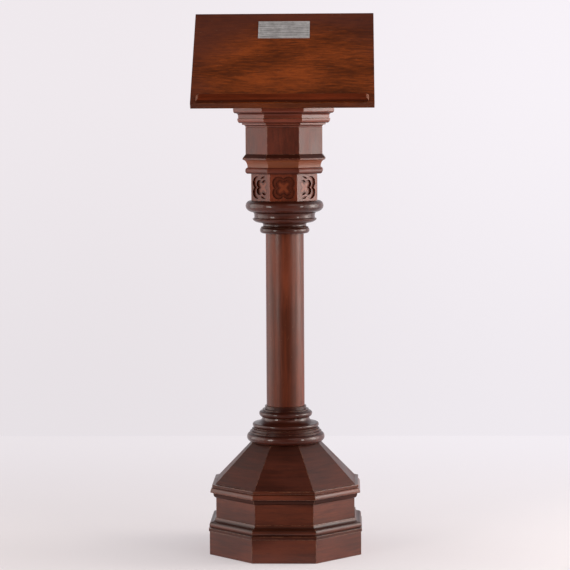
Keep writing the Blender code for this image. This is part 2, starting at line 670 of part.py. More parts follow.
def under_desk(y):
    """Give the height at which a piece at y meets the desk's underside, less the glue line."""
    return DESK_ARRIS_Z + (y - DESK_ARRIS_Y) * tan(DESK_SLOPE) - GLUE_LINE / cos(DESK_SLOPE)


def add_desk_support(name, front, back, width, x, material):
    """Stand a board between the cornice and the sloping desk."""
    bottom = TOP_PLATE_TOP + GLUE_LINE
    outline = Outline(front, bottom)
    outline.line(back, bottom)
    outline.line(back, under_desk(back))
    outline.line(front, under_desk(front))
    mesh = flat_mesh(name, outline.points, width)
    mesh.transform(ACROSS_THE_DESK)
    add_part(name, mesh, material).location.x = x


def build_desk_box(wood):
    """Make the cheeks, the front rail and the back board that carry the desk."""
    cheek_x = (BOX_WIDTH - CHEEK_THICK) / 2
    between = BOX_WIDTH - 2 * CHEEK_THICK - 2 * GLUE_LINE
    add_desk_support("desk_cheek_left", BOX_FRONT_Y, BOX_BACK_Y, CHEEK_THICK, -cheek_x, wood)
    add_desk_support("desk_cheek_right", BOX_FRONT_Y, BOX_BACK_Y, CHEEK_THICK, cheek_x, wood)
    add_desk_support("desk_front_rail", BOX_FRONT_Y, BOX_FRONT_Y + RAIL_THICK, between, 0.0, wood)
    add_desk_support("desk_back_board", BOX_BACK_Y - RAIL_THICK, BOX_BACK_Y, between, 0.0, wood)


def ledge_mesh():
    """Raise the ledge from its foot up through its profile, returned at both ends and upright at the back."""
    nose_top = LEDGE_RECESS_HEIGHT + LEDGE_NOSE_HEIGHT
    profile = Outline(LEDGE_RECESS_DEPTH, 0.0)
    profile.line(LEDGE_RECESS_DEPTH, LEDGE_RECESS_HEIGHT)
    profile.line(0.0, LEDGE_RECESS_HEIGHT)
    profile.line(0.0, nose_top)
    profile.from_upright(LEDGE_WIDTH - LEDGE_TOP_WIDTH, LEDGE_HEIGHT)

    def place(verts, inset, up):
        for vert in verts:
            is_back = vert.co.y > LEDGE_WIDTH / 2
            end = LEDGE_LENGTH / 2 - inset
            vert.co = (copysign(end, vert.co.x), LEDGE_WIDTH if is_back else inset, up)

    mesh = bpy.data.meshes.new("book_ledge")
    work = bmesh.new()
    bmesh.ops.create_grid(work, x_segments=1, y_segments=1, size=LEDGE_LENGTH / 2)
    place(work.verts, *profile.points[0])
    foot = work.faces[:][0]
    face = foot
    for point in profile.points[1:]:
        raised = bmesh.ops.extrude_face_region(work, geom=[face])
        if face is not foot:
            bmesh.ops.delete(work, geom=[face], context="FACES_ONLY")
        face = next(item for item in raised["geom"] if isinstance(item, bmesh.types.BMFace))
        place(face.verts, *point)
    bmesh.ops.recalc_face_normals(work, faces=work.faces)
    work.to_mesh(mesh)
    work.free()
    return mesh


def build_desk(board_wood, ledge_wood, metal):
    """Make the sloping board with its ledge and plaque, on a frame at its lower arris."""
    frame = bpy.data.objects.new("desk_frame", None)
    frame.location = (0.0, DESK_ARRIS_Y, DESK_ARRIS_Z)
    frame.rotation_euler.x = DESK_SLOPE
    parts.objects.link(frame)

    board = add_part("desk_board", box_mesh("desk_board", DESK_WIDTH, DESK_LENGTH, DESK_THICK), board_wood)
    ease = board.modifiers.new("Eased edges", "BEVEL")
    ease.width = DESK_EDGE_EASE
    ease.segments = 2
    board.parent = frame

    ledge = add_part("book_ledge", ledge_mesh(), ledge_wood)
    ledge.parent = frame
    ledge.location = (0.0, LEDGE_MARGIN, DESK_THICK + GLUE_LINE)

    plaque = add_part("plaque", box_mesh("plaque", PLAQUE_WIDTH, PLAQUE_HEIGHT, PLAQUE_THICK), metal)
    plaque.parent = frame
    plaque.location = (0.0, DESK_LENGTH - PLAQUE_DROP - PLAQUE_HEIGHT, DESK_THICK + GLUE_LINE)


remove_all_objects()
parts = new_collection("lectern")
cutters = new_collection("lectern_cutters")

build_plinth(new_material("plinth_wood", (0.088, 0.025, 0.014), 0.35))
build_carcass(new_material("carcass_wood", (0.086, 0.024, 0.013), 0.35))
build_slope(new_material("slope_wood", (0.058, 0.018, 0.012), 0.38))
build_column_base(new_material("base_disc_wood", (0.062, 0.020, 0.012), 0.3))
build_shaft(new_material("shaft_wood", (0.105, 0.030, 0.017), 0.3))
build_turned_capital(new_material("capital_disc_wood", (0.064, 0.020, 0.012), 0.3))
build_carved_drum(new_material("carved_wood", (0.075, 0.022, 0.013), 0.4))
build_band_and_upper_drum(new_material("drum_wood", (0.082, 0.022, 0.013), 0.35))
build_cornice(new_material("cornice_wood", (0.080, 0.022, 0.013), 0.35))
build_desk_box(new_material("desk_box_wood", (0.070, 0.022, 0.012), 0.45))
build_desk(
    new_material("desk_board_wood", (0.185, 0.042, 0.011), 0.35),
    new_material("ledge_wood", (0.130, 0.032, 0.011), 0.35),
    new_material("plaque_metal", (0.30, 0.30, 0.32), 0.4, metallic=1.0),
)
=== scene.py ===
"""Looks of a gothic revival lectern: octagonal base, turned column, carved capital and sloping desk.

The lectern stands on the XY plane with its column on the Z axis and its reader at -Y. Lengths are in metres.
"""

from __future__ import annotations

import logging
from collections.abc import Callable, Iterator, Sequence
from contextlib import contextmanager
from dataclasses import dataclass, field
from enum import Enum
from math import asin, atan2, cos, pi, radians, sin

import bmesh
import bpy
from mathutils import Matrix, Vector

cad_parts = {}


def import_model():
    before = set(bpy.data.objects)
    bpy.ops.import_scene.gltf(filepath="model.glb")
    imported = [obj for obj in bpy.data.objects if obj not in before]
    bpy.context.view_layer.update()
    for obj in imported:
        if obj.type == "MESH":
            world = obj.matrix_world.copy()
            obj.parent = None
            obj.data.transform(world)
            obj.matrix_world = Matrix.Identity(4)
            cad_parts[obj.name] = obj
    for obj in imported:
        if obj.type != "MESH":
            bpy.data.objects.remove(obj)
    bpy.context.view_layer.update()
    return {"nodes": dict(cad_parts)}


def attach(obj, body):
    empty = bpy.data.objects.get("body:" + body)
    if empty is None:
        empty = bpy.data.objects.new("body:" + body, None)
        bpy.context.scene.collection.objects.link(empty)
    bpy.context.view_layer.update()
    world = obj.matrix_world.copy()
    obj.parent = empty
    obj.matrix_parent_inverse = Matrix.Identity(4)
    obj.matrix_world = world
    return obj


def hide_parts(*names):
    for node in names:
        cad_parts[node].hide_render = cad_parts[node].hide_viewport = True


LOG = logging.getLogger("lectern")

MM = 0.001
SIDES = 8
HALF_SIDE = pi / SIDES
SIDE_ANGLE = 2 * HALF_SIDE
GLUE_LINE = 0.3 * MM
WELD = 0.01 * MM
SAME_PLACE = WELD / 10
TURNED_STEPS = 96
ARC_STEPS = 10
LOBE_STEPS = 24
# Least part of a normal along a direction, of a face that looks that way and of one that leans that way.
FACES = 0.9
LEANS = 0.5
# Painted shade below mouldings: its strength and where it starts; and the same where it only falls
# underneath.
BELOW_SHADE = 0.9
BELOW_START = 0.2
UNDER_SHADE = 0.85
UNDER_TURN = (0.4, 0.5)
GRAIN = "grain"
# Attribute of eased arrises, which get the worn colour with a painted highlight.
WEAR_AND_HIGHLIGHT = "wear_and_highlight"
TONE = "tone"
BLACK = (0.0, 0.0, 0.0)

Piece = bpy.types.Object
Face = bpy.types.MeshPolygon
Material = bpy.types.Material
Socket = bpy.types.NodeSocket
Point = tuple[float, float]
Range = tuple[float, float]
Triple = tuple[float, float, float]
ToneRule = Callable[[Face], float]


class Grain(Enum):
    """The way that the wood's grain runs in a piece."""

    ACROSS = "level, from side to side"
    UPRIGHT = "straight up"
    ROUND = "level, along each side of the octagon"


class Light(Enum):
    """The lamps of the studio, by the side that they stand on."""

    LEFT_PANEL = "left panel"
    RIGHT_PANEL = "right panel"
    LEFT_FRONT = "left front softbox"
    RIGHT_FRONT = "right front softbox"
    RIGHT_SIDE = "right side softbox"
    OVERHEAD = "overhead softbox"


class Outline:
    """A profile drawn point by point in (out, up).

    Out is the distance from the axis, or half the width across flats, and up is the height above the floor.
    Every way to run gives the outline itself, so that one follows another.
    """

    def __init__(self, out: float, up: float) -> None:
        """Start the profile at a point."""
        self.points: list[Point] = [(out, up)]

    def line(self, out: float, up: float) -> Outline:
        """Run straight to a point."""
        self.points.append((out, up))
        return self

    def level(self, out: float) -> Outline:
        """Run level to a distance from the axis."""
        return self.line(out, self.points[-1][1])

    def upright(self, up: float) -> Outline:
        """Run straight up or down to a height."""
        return self.line(self.points[-1][0], up)

    def from_level(self, out: float, up: float) -> Outline:
        """Run a quarter ellipse that leaves level and arrives upright."""
        return self.quarter_round(out, up, leaves_level=True)

    def from_upright(self, out: float, up: float) -> Outline:
        """Run a quarter ellipse that leaves upright and arrives level."""
        return self.quarter_round(out, up, leaves_level=False)

    def quarter_round(self, out: float, up: float, leaves_level: bool) -> Outline:
        """Run a quarter ellipse to a point.

        Args:
            out: Distance from the axis of the end.
            up: Height of the end.
            leaves_level: Whether it leaves level, instead of upright.

        Returns:
            The outline itself.
        """
        start_out, start_up = self.points[-1]
        for step in range(1, ARC_STEPS + 1):
            angle = step / ARC_STEPS * pi / 2
            if leaves_level:
                self.line(start_out + (out - start_out) * sin(angle), up + (start_up - up) * cos(angle))
            else:
                self.line(out + (start_out - out) * cos(angle), start_up + (up - start_up) * sin(angle))
        return self

    def half_round(self, out: float, up: float, swell: float) -> Outline:
        """Run half an ellipse to a point, swelling outwards on the way down.

        Args:
            out: Distance from the axis of the end.
            up: Height of the end.
            swell: Rise of the half ellipse over the straight way.

        Returns:
            The outline itself.
        """
        start = Vector(self.points[-1])
        way = Vector((out, up)) - start
        aside = Vector((-way.y, way.x)).normalized() * swell
        for step in range(1, 2 * ARC_STEPS + 1):
            angle = step / (2 * ARC_STEPS) * pi
            point = start + way * (1 - cos(angle)) / 2 + aside * sin(angle)
            self.line(point.x, point.y)
        return self


def clear_selection() -> None:
    """Go to object mode with nothing selected."""
    if bpy.context.object is not None and bpy.context.object.mode != "OBJECT":
        bpy.ops.object.mode_set(mode="OBJECT")
    bpy.ops.object.select_all(action="DESELECT")


def make_only(*pieces: Piece) -> None:
    """Select these pieces alone and make the first one active.

    Args:
        pieces: The pieces to work on.
    """
    clear_selection()
    for piece in pieces:
        piece.select_set(True)
    bpy.context.view_layer.objects.active = pieces[0]


def settle(piece: Piece) -> None:
    """Put the piece's place, turn and scale into its mesh."""
    make_only(piece)
    bpy.ops.object.transform_apply(location=True, rotation=True, scale=True)


@contextmanager
def edit_all(piece: Piece) -> Iterator[None]:
    """Work on a piece in edit mode, with all of its mesh selected at the start.

    Args:
        piece: The piece to work on.

    Yields:
        Nothing; the piece is in edit mode meanwhile.
    """
    make_only(piece)
    bpy.ops.object.mode_set(mode="EDIT")
    bpy.ops.mesh.select_all(action="SELECT")
    yield
    bpy.ops.object.mode_set(mode="OBJECT")


def close_shell(piece: Piece) -> None:
    """Merge the doubles of a piece and turn its faces outwards.

    Args:
        piece: The piece to close.
    """
    with edit_all(piece):
        bpy.ops.mesh.remove_doubles(threshold=WELD)
        bpy.ops.mesh.dissolve_degenerate(threshold=WELD)
        bpy.ops.mesh.select_all(action="SELECT")
        bpy.ops.mesh.normals_make_consistent(inside=False)


def apply_modifier(piece: Piece, name: str, kind: str, **settings: object) -> None:
    """Add a modifier to a piece and apply it.

    Args:
        piece: The piece to change.
        name: Name of the modifier.
        kind: Its type.
        settings: Property names and values.
    """
    make_only(piece)
    modifier = piece.modifiers.new(name, kind)
    for setting, value in settings.items():
        setattr(modifier, setting, value)
    bpy.ops.object.modifier_apply(modifier=modifier.name)


def extrude_through(points: Sequence[Point], size: Callable[[float], Point], centre: Triple) -> None:
    """Extrude what is selected through a profile, scaling it at each point.

    Args:
        points: Profile of (out, up), from the place of what is selected.
        size: Gives the width and depth at a distance out.
        centre: Point about which it is scaled.
    """
    out, up = points[0]
    for next_out, next_up in points[1:]:
        bpy.ops.mesh.extrude_region_move(TRANSFORM_OT_translate={"value": (0.0, 0.0, next_up - up)})
        if abs(next_out - out) > SAME_PLACE:
            across, deep = (new / old for new, old in zip(size(next_out), size(out)))
            bpy.ops.transform.resize(value=(across, deep, 1.0), center_override=centre)
        out, up = next_out, next_up


def raise_ring(name: str, outline: Outline, sides: int, solid: bool) -> Piece:
    """Raise a circle through a profile by extruding it and scaling each new ring.

    Args:
        name: Name of the piece.
        outline: Its profile; a ring's profile is closed from its last point to its first.
        sides: Number of sides; eight make an octagon measured across flats.
        solid: Whether the ends are closed by faces, instead of a ring round a bore.

    Returns:
        The raised piece, with a flat side to the front if it is an octagon.
    """
    scale = 1 / cos(HALF_SIDE) if sides == SIDES else 1.0
    turn = HALF_SIDE if sides == SIDES else 0.0
    out, up = outline.points[0]
    clear_selection()
    bpy.ops.mesh.primitive_circle_add(
        vertices=sides, radius=out * scale, fill_type="NGON" if solid else "NOTHING",
        location=(0.0, 0.0, up), rotation=(0.0, 0.0, turn))
    piece = bpy.context.object
    piece.name = name
    route = outline.points if solid else [*outline.points, outline.points[0]]
    with edit_all(piece):
        extrude_through(route, lambda reach: (reach, reach), (0.0, 0.0, 0.0))
    settle(piece)
    close_shell(piece)
    return piece


def slice_off(piece: Piece, point: Vector, normal: Vector) -> None:
    """Cut away what lies on the normal's side of a plane and close the cut.

    Args:
        piece: The piece to cut.
        point: A point of the plane.
        normal: The plane's normal, towards the waste.
    """
    with edit_all(piece):
        bpy.ops.mesh.bisect(
            plane_co=point, plane_no=normal, use_fill=True, clear_outer=True, threshold=SAME_PLACE)


def mitre_front(piece: Piece, gap: float) -> None:
    """Keep the front eighth of an octagonal ring, cut to the mitre at both ends.

    Args:
        piece: The ring to cut.
        gap: Half the glue line left at each mitre.
    """
    for hand in (-1, 1):
        across = Vector((hand * cos(HALF_SIDE), sin(HALF_SIDE), 0.0))
        slice_off(piece, across * -gap, across)
    close_shell(piece)


def copy_round(piece: Piece) -> list[Piece]:
    """Set eight copies of a front piece round the octagon, each with its own mesh.

    Args:
        piece: The front piece; it is removed.

    Returns:
        The eight copies.
    """
    copies = []
    for side in range(SIDES):
        copy = piece.copy()
        copy.data = piece.data.copy()
        bpy.context.scene.collection.objects.link(copy)
        copy.rotation_euler.z = side * SIDE_ANGLE
        settle(copy)
        copies.append(copy)
    bpy.data.objects.remove(piece, do_unlink=True)
    return copies


def ease_edges(piece: Piece, width: float, segments: int = 2, angle: float = 30.0) -> None:
    """Round the edges of a piece, and mark its arrises as worn with a painted highlight and its hollow
    corners with painted shade.

    Args:
        piece: The piece to ease.
        width: Width of the rounding.
        segments: Faces across the rounding.
        angle: Least angle in degrees between faces whose edge is rounded.
    """
    mesh = piece.data
    mesh.materials.clear()
    mesh.materials.append(None)
    mesh.materials.append(None)
    eased = len(mesh.materials) - 1
    apply_modifier(
        piece, "Eased edges", "BEVEL", width=width, segments=segments, limit_method="ANGLE",
        angle_limit=radians(angle), material=eased, use_clamp_overlap=True)
    worn_and_highlit: list[float] = []
    tones: list[float] = []
    shape = bmesh.new()
    shape.from_mesh(mesh)
    for face in shape.faces:
        beside = [other for edge in face.edges for other in edge.link_faces if other is not face]
        widest = max(beside, key=lambda other: other.calc_area())
        hollow = (widest.calc_center_median() - face.calc_center_median()).dot(face.normal) > 0.0
        # Convex eased faces get the worn colour with a painted highlight; hollow ones get painted shade.
        worn_and_highlit.append(float(face.material_index == eased and not hollow))
        tones.append(-float(face.material_index == eased and hollow))
    shape.free()
    mesh.attributes.new(WEAR_AND_HIGHLIGHT, "FLOAT", "FACE").data.foreach_set("value", worn_and_highlit)
    mesh.attributes.new(TONE, "FLOAT", "FACE").data.foreach_set("value", tones)
    mesh.polygons.foreach_set("material_index", [0] * len(mesh.polygons))
    mesh.materials.clear()


def smooth(piece: Piece, sharp: float = 32.0) -> None:
    """Shade a piece smooth, with its sharper edges kept and its wide faces flat.

    Args:
        piece: The piece to shade.
        sharp: Least angle in degrees of an edge that stays sharp.
    """
    make_only(piece)
    bpy.ops.object.shade_smooth_by_angle(angle=radians(sharp))
    apply_modifier(piece, "Flat faces", "WEIGHTED_NORMAL", keep_sharp=True)


def lay_grain(piece: Piece, grain: Grain, wood: Vector) -> None:
    """Write where each corner of a piece lies in the wood, with X along the grain.

    Args:
        piece: The piece to lay out.
        grain: The way that the grain runs.
        wood: Offset that gives the piece wood of its own.
    """
    mesh = piece.data
    values: list[float] = []
    for polygon in mesh.polygons:
        turn = Matrix.Identity(3)
        if grain is Grain.ROUND:
            side = round((atan2(polygon.center.y, polygon.center.x) + pi / 2) / SIDE_ANGLE)
            turn = Matrix.Rotation(-side * SIDE_ANGLE, 3, "Z")
        for index in polygon.vertices:
            point = turn @ mesh.vertices[index].co
            if grain is Grain.UPRIGHT:
                point = Vector((point.z, point.x, point.y))
            values.extend(point + wood)
    mesh.attributes.new(GRAIN, "FLOAT_VECTOR", "CORNER").data.foreach_set("vector", values)


def move_grain(piece: Piece, step: Vector, count: int) -> None:
    """Give a copied piece wood of its own.

    Args:
        piece: The copy, with its grain laid.
        step: Offset in the wood from one copy to the next.
        count: Number of steps to take.
    """
    grain = piece.data.attributes[GRAIN].data
    values = [0.0] * (3 * len(grain))
    grain.foreach_get("vector", values)
    grain.foreach_set("vector", [value + step[index % 3] * count for index, value in enumerate(values)])


def work_wood(piece: Piece, ease: float, rule: ToneRule, grain: Grain, wood: Vector, segments: int = 2,
              angle: float = 30.0, sharp: float = 32.0) -> None:
    """Ease the edges of a wooden piece, tint its faces, shade it smooth and lay its grain.

    Args:
        piece: The piece to work.
        ease: Width of its rounded edges.
        rule: Gives the tone to add to a face, from -1 for painted shade to 1 for paler wood.
        grain: The way that its grain runs.
        wood: Offset that gives it wood of its own.
        segments: Faces across a rounded edge.
        angle: Least angle in degrees of an edge that is rounded.
        sharp: Least angle in degrees of an edge that stays sharp.
    """
    ease_edges(piece, ease, segments, angle)
    tones = piece.data.attributes[TONE].data
    for polygon in piece.data.polygons:
        tones[polygon.index].value += rule(polygon)
    smooth(piece, sharp)
    lay_grain(piece, grain, wood)


def ramp(value: float, start: float, reach: float) -> float:
    """Give how far a value has come from a start over a reach, from 0 to 1."""
    return min(1.0, max(0.0, (value - start) / reach))


def shade_below(polygon: Face) -> float:
    """Give the tone of painted shade under mouldings, darker the more a face looks down."""
    return BELOW_SHADE * min(0.0, polygon.normal.z + BELOW_START)


def shade_under(polygon: Face) -> float:
    """Give the tone of a moulding with painted shade only where it turns under."""
    return -UNDER_SHADE * ramp(-polygon.normal.z, *UNDER_TURN)


class NodeKit:
    """Short ways to add and join nodes in one node tree."""

    def __init__(self, tree: bpy.types.NodeTree) -> None:
        """Keep the tree that nodes are added to."""
        self.tree = tree

    def link(self, source: object, target: Socket) -> None:
        """Join a socket to an input, or set the input to a plain value.

        Args:
            source: Output socket, number, vector or colour.
            target: Input socket.
        """
        if isinstance(source, Socket):
            self.tree.links.new(source, target)
        elif target.type == "RGBA" and len(source) == 3:
            target.default_value = (*source, 1.0)
        else:
            target.default_value = source

    def feed(self, node: bpy.types.Node, sources: dict[str | int, object]) -> None:
        """Join or set several inputs of a node, by their names or places."""
        for place, source in sources.items():
            self.link(source, node.inputs[place])

    def add(self, kind: str, sources: Sequence[object] = (), **settings: object) -> bpy.types.Node:
        """Add a node, set its properties and feed its inputs.

        Args:
            kind: The node's type.
            sources: What its first inputs get, in order.
            settings: Property names and values.

        Returns:
            The new node.
        """
        node = self.tree.nodes.new(kind)
        for name, value in settings.items():
            setattr(node, name, value)
        self.feed(node, dict(enumerate(sources)))
        return node

    def place(self) -> Socket:
        """Give the place on the object."""
        return self.add("ShaderNodeTexCoord").outputs["Object"]

    def attribute(self, name: str, output: str = "Fac") -> Socket:
        """Give an attribute of the piece."""
        return self.add("ShaderNodeAttribute", attribute_name=name).outputs[output]

    def axes(self, vector: Socket) -> list[Socket]:
        """Give the three parts of a vector."""
        return list(self.add("ShaderNodeSeparateXYZ", [vector]).outputs)

    def rays(self) -> tuple[Socket, Socket]:
        """Give whether a ray comes from the camera, and whether from a mirror or through glass."""
        ray = self.add("ShaderNodeLightPath").outputs
        return ray["Is Camera Ray"], self.math("MAXIMUM", ray["Is Glossy Ray"], ray["Is Transmission Ray"])

    def math(self, operation: str, first: object, second: object) -> Socket:
        """Combine two numbers by a named operation."""
        return self.add("ShaderNodeMath", [first, second], operation=operation).outputs["Value"]

    def vector_math(self, operation: str, *values: object, output: str = "Vector") -> Socket:
        """Combine vectors by a named operation."""
        return self.add("ShaderNodeVectorMath", values, operation=operation).outputs[output]

    def remap(self, value: object, span: Range, low: float = 0.0, high: float = 1.0) -> Socket:
        """Map a span of values smoothly to the range from low to high."""
        sources = [value, *span, low, high]
        return self.add("ShaderNodeMapRange", sources, interpolation_type="SMOOTHSTEP").outputs["Result"]

    def noise(self, vector: Socket, scale: float | Triple, detail: float = 3.0, rough: float = 0.5,
              output: str = "Fac") -> Socket:
        """Add a noise texture.

        Args:
            vector: Vector that it reads.
            scale: Its scale, or the scale along each axis.
            detail: Number of octaves.
            rough: Share of each finer octave.
            output: Which of its outputs to give.

        Returns:
            The output's socket.
        """
        if isinstance(scale, tuple):
            vector = self.vector_math("MULTIPLY", vector, scale)
            scale = 1.0
        node = self.add("ShaderNodeTexNoise")
        self.feed(node, {"Vector": vector, "Scale": scale, "Detail": detail, "Roughness": rough})
        return node.outputs[output]

    def relief(self, height: Socket, strength: float, depth: float) -> Socket:
        """Give the normal of a surface with fine relief.

        Args:
            height: Height of the relief.
            strength: How strongly it shows.
            depth: Its depth.

        Returns:
            The normal's socket.
        """
        node = self.add("ShaderNodeBump")
        self.feed(node, {"Strength": strength, "Distance": depth, "Height": height})
        return node.outputs["Normal"]

    def mix(self, data: str, kind: str, ends: tuple[object, object], share: object) -> Socket:
        """Mix two numbers or colours.

        Args:
            data: What is mixed.
            kind: Type of its sockets.
            ends: What share 0 and share 1 give.
            share: Share of the second.

        Returns:
            The result's socket.
        """
        node = self.add("ShaderNodeMix", data_type=data)
        targets = [socket for socket in node.inputs if socket.type == kind]
        self.link(share, node.inputs["Factor"])
        self.link(ends[0], targets[-2])
        self.link(ends[1], targets[-1])
        return next(socket for socket in node.outputs if socket.type == kind)

    def mix_values(self, first: object, second: object, share: object) -> Socket:
        """Mix two numbers."""
        return self.mix("FLOAT", "VALUE", (first, second), share)

    def mix_colours(self, first: object, second: object, share: object) -> Socket:
        """Mix two colours."""
        return self.mix("RGBA", "RGBA", (first, second), share)


def start_material(name: str) -> tuple[Material, NodeKit, bpy.types.Node]:
    """Start a material.

    Args:
        name: Name of the material.

    Returns:
        The material, what adds its nodes, and its shader.
    """
    material = bpy.data.materials.new(name)
    material.use_nodes = True
    return material, NodeKit(material.node_tree), material.node_tree.nodes["Principled BSDF"]


@dataclass(frozen=True)
class WoodFinish:
    """Stained and polished hardwood, with its streaks, pores, blotches, painted shade, worn arrises with a
    painted highlight, an optional painted shadow and polish.

    Scales are in waves a metre, along the grain and across it. A range has the noise's values where a mark
    starts and where it is full.
    """

    name: str
    stain: Triple
    contrast: float = 0.42
    softness: float = 0.13
    # Colour of scratches, and of worn arrises with their painted highlight.
    worn_and_highlit: Triple = (0.34, 0.15, 0.085)
    faded_and_lit: Triple = (0.27, 0.075, 0.022)
    streaks: float = 150.0
    stretch: float = 0.08
    blotch: float = 0.4
    roughness: float = 0.36
    polish: float = 0.12
    polish_roughness: float = 0.16
    gloss: float = 0.33
    arris_shine: float = 0.0
    wear_and_highlight: float = 0.4
    pores: float = 0.5
    marks: float = 0.0
    # A painted shadow: the heights over which the wood darkens; its colour and share follow below.
    painted_shadow: Range | None = None
    handled: tuple[float, float, float, float] | None = None
    sway: float = 12.0 * MM
    sway_scale: Triple = (5.0, 16.0, 16.0)
    fine_along: float = 3.0
    fine_across: float = 5.0
    fine_share: float = 0.4
    blotch_scale: Triple = (6.0, 14.0, 14.0)
    pore_range: Range = (0.52, 0.66)
    pore_stain: float = 0.35
    painted_shadow_stain: float = 0.3
    painted_shadow_share: float = 0.6
    scratch_scale: Triple = (55.0, 210.0, 210.0)
    scratch_range: Range = (0.64, 0.74)
    arris_patch_scale: float = 140.0
    arris_patch_range: Range = (0.42, 0.62)
    # Painted shade: its share, its colour and what is left of the gloss under it.
    painted_shade_share: float = 0.9
    painted_shade_stain: float = 0.16
    painted_shade_gloss: float = 0.3
    dull_range: Range = (0.3, 0.7)
    dull_reach: Range = (-0.06, 0.08)
    relief: float = 0.35 * MM
    relief_strength: float = 0.3
    rim_break: float = 0.7
    rim_range: Range = (0.95, 1.5)
    rim_stain: Triple = (0.30, 0.42, 2.4)
    rim_share: float = 0.72

    def scaled(self, factor: float) -> Triple:
        """Give the stain made lighter or darker by a factor."""
        return tuple(value * factor for value in self.stain)

    def build(self) -> Material:
        """Build the finish's nodes.

        Returns:
            The material, which reads the grain, tone and worn-arris attributes of its piece; a worn arris
            also gets a painted highlight.
        """
        material, kit, shader = start_material(self.name)
        wood = kit.attribute(GRAIN, "Vector")
        waver = kit.noise(wood, self.sway_scale, detail=2.0, output="Color")
        half = -self.sway / 2
        aside = kit.vector_math("MULTIPLY_ADD", waver, (0.0, self.sway, self.sway), (0.0, half, half))
        bent = kit.vector_math("ADD", wood, aside)

        along = self.streaks * self.stretch
        across = self.streaks * self.fine_across
        streak = kit.noise(bent, (along, self.streaks, self.streaks), detail=5.0, rough=0.62)
        fine = kit.noise(bent, (along * self.fine_along, across, across), rough=0.6)
        blotch = kit.noise(wood, self.blotch_scale)
        figure = kit.mix_values(kit.mix_values(streak, fine, self.fine_share), blotch, self.blotch)
        figure = kit.remap(figure, (0.5 - self.softness, 0.5 + self.softness))
        colour = kit.mix_colours(self.scaled(1.0 - self.contrast), self.scaled(1.0 + self.contrast), figure)
        pore = kit.remap(fine, self.pore_range, high=self.pores)
        colour = kit.mix_colours(colour, self.scaled(self.pore_stain), pore)
        # Painted shadow: the wood darkens over a band of heights.
        if self.painted_shadow:
            painted_shadow = kit.remap(kit.axes(kit.place())[2], self.painted_shadow, high=self.painted_shadow_share)
            colour = kit.mix_colours(colour, self.scaled(self.painted_shadow_stain), painted_shadow)
        if self.handled:
            colour = self.darken_round(kit, wood, blotch, colour)
        if self.marks:
            scratch = kit.noise(bent, self.scratch_scale, detail=4.0, rough=0.7)
            scratch = kit.remap(scratch, self.scratch_range, high=self.marks)
            colour = kit.mix_colours(colour, self.worn_and_highlit, scratch)

        # Negative tone is painted shade, which darkens the colour and dulls the gloss; positive tone makes
        # the wood paler.
        tone = kit.attribute(TONE)
        painted_shade = kit.math("MAXIMUM", kit.math("MULTIPLY", tone, -self.painted_shade_share), 0.0)
        colour = kit.mix_colours(colour, self.faded_and_lit, kit.math("MAXIMUM", tone, 0.0))
        colour = kit.mix_colours(colour, self.scaled(self.painted_shade_stain), painted_shade)
        # Worn arrises, in patches: worn colour with a painted highlight.
        arris_patches = kit.remap(kit.noise(wood, self.arris_patch_scale, detail=4.0), self.arris_patch_range, high=self.wear_and_highlight)
        edge = kit.attribute(WEAR_AND_HIGHLIGHT)
        least, most = (self.roughness + reach for reach in self.dull_reach)
        kit.feed(shader, {
            "Base Color": kit.mix_colours(colour, self.worn_and_highlit, kit.math("MULTIPLY", edge, arris_patches)),
            "Roughness": kit.remap(blotch, self.dull_range, least, most),
            "Specular IOR Level": kit.mix_values(self.gloss, self.painted_shade_gloss * self.gloss, painted_shade),
            "Coat Weight": kit.mix_values(kit.mix_values(self.polish, 0.0, painted_shade), self.arris_shine, edge),
            "Coat Roughness": self.polish_roughness,
            "Normal": kit.relief(fine, self.relief_strength, self.relief),
        })
        return material

    def darken_round(self, kit: NodeKit, wood: Socket, blotch: Socket, colour: Socket) -> Socket:
        """Darken the wood round the zone that hands and books have rubbed.

        Args:
            kit: What adds the nodes.
            wood: Place in the wood.
            blotch: Slow noise that breaks the zone's rim.
            colour: Colour of the rubbed wood.

        Returns:
            The colour with its darker surroundings.
        """
        across, up, half_across, half_up = self.handled
        from_middle = kit.vector_math("SUBTRACT", wood, (across, up, 0.0))
        from_middle = kit.vector_math("MULTIPLY", from_middle, (1.0 / half_across, 1.0 / half_up, 0.0))
        far = kit.vector_math("LENGTH", from_middle, output="Value")
        rim = kit.math("ADD", far, kit.math("MULTIPLY", blotch, self.rim_break))
        dark = tuple(factor * value for factor, value in zip(self.rim_stain, self.stain))
        return kit.mix_colours(colour, dark, kit.remap(rim, self.rim_range, high=self.rim_share))


@dataclass(frozen=True)
class PlateFinish:
    """Dulled metal plate, clouded with patina and brighter along its rubbed edges."""

    name: str
    tarnished: Triple
    bright: Triple
    cloud_scale: float = 55.0
    brush_scale: Triple = (18.0, 300.0, 300.0)
    brush_share: float = 0.5
    bright_range: Range = (0.38, 0.64)
    tarnished_roughness: float = 0.55
    bright_roughness: float = 0.38
    metal: float = 0.5
    dents: float = 0.2 * MM
    dents_strength: float = 0.15

    def build(self) -> Material:
        """Build the finish's nodes.

        Returns:
            The material, which reads Object coordinates and the attribute of worn arrises.
        """
        material, kit, shader = start_material(self.name)
        place = kit.place()
        cloud = kit.noise(place, self.cloud_scale, detail=5.0, rough=0.65)
        brush = kit.noise(place, self.brush_scale)
        tone = kit.remap(kit.mix_values(cloud, brush, self.brush_share), self.bright_range)
        colour = kit.mix_colours(self.tarnished, self.bright, tone)
        kit.feed(shader, {
            "Base Color": kit.mix_colours(colour, self.bright, kit.attribute(WEAR_AND_HIGHLIGHT)),
            "Roughness": kit.remap(tone, (0.0, 1.0), self.tarnished_roughness, self.bright_roughness),
            "Metallic": self.metal,
            "Normal": kit.relief(brush, self.dents_strength, self.dents),
        })
        return material


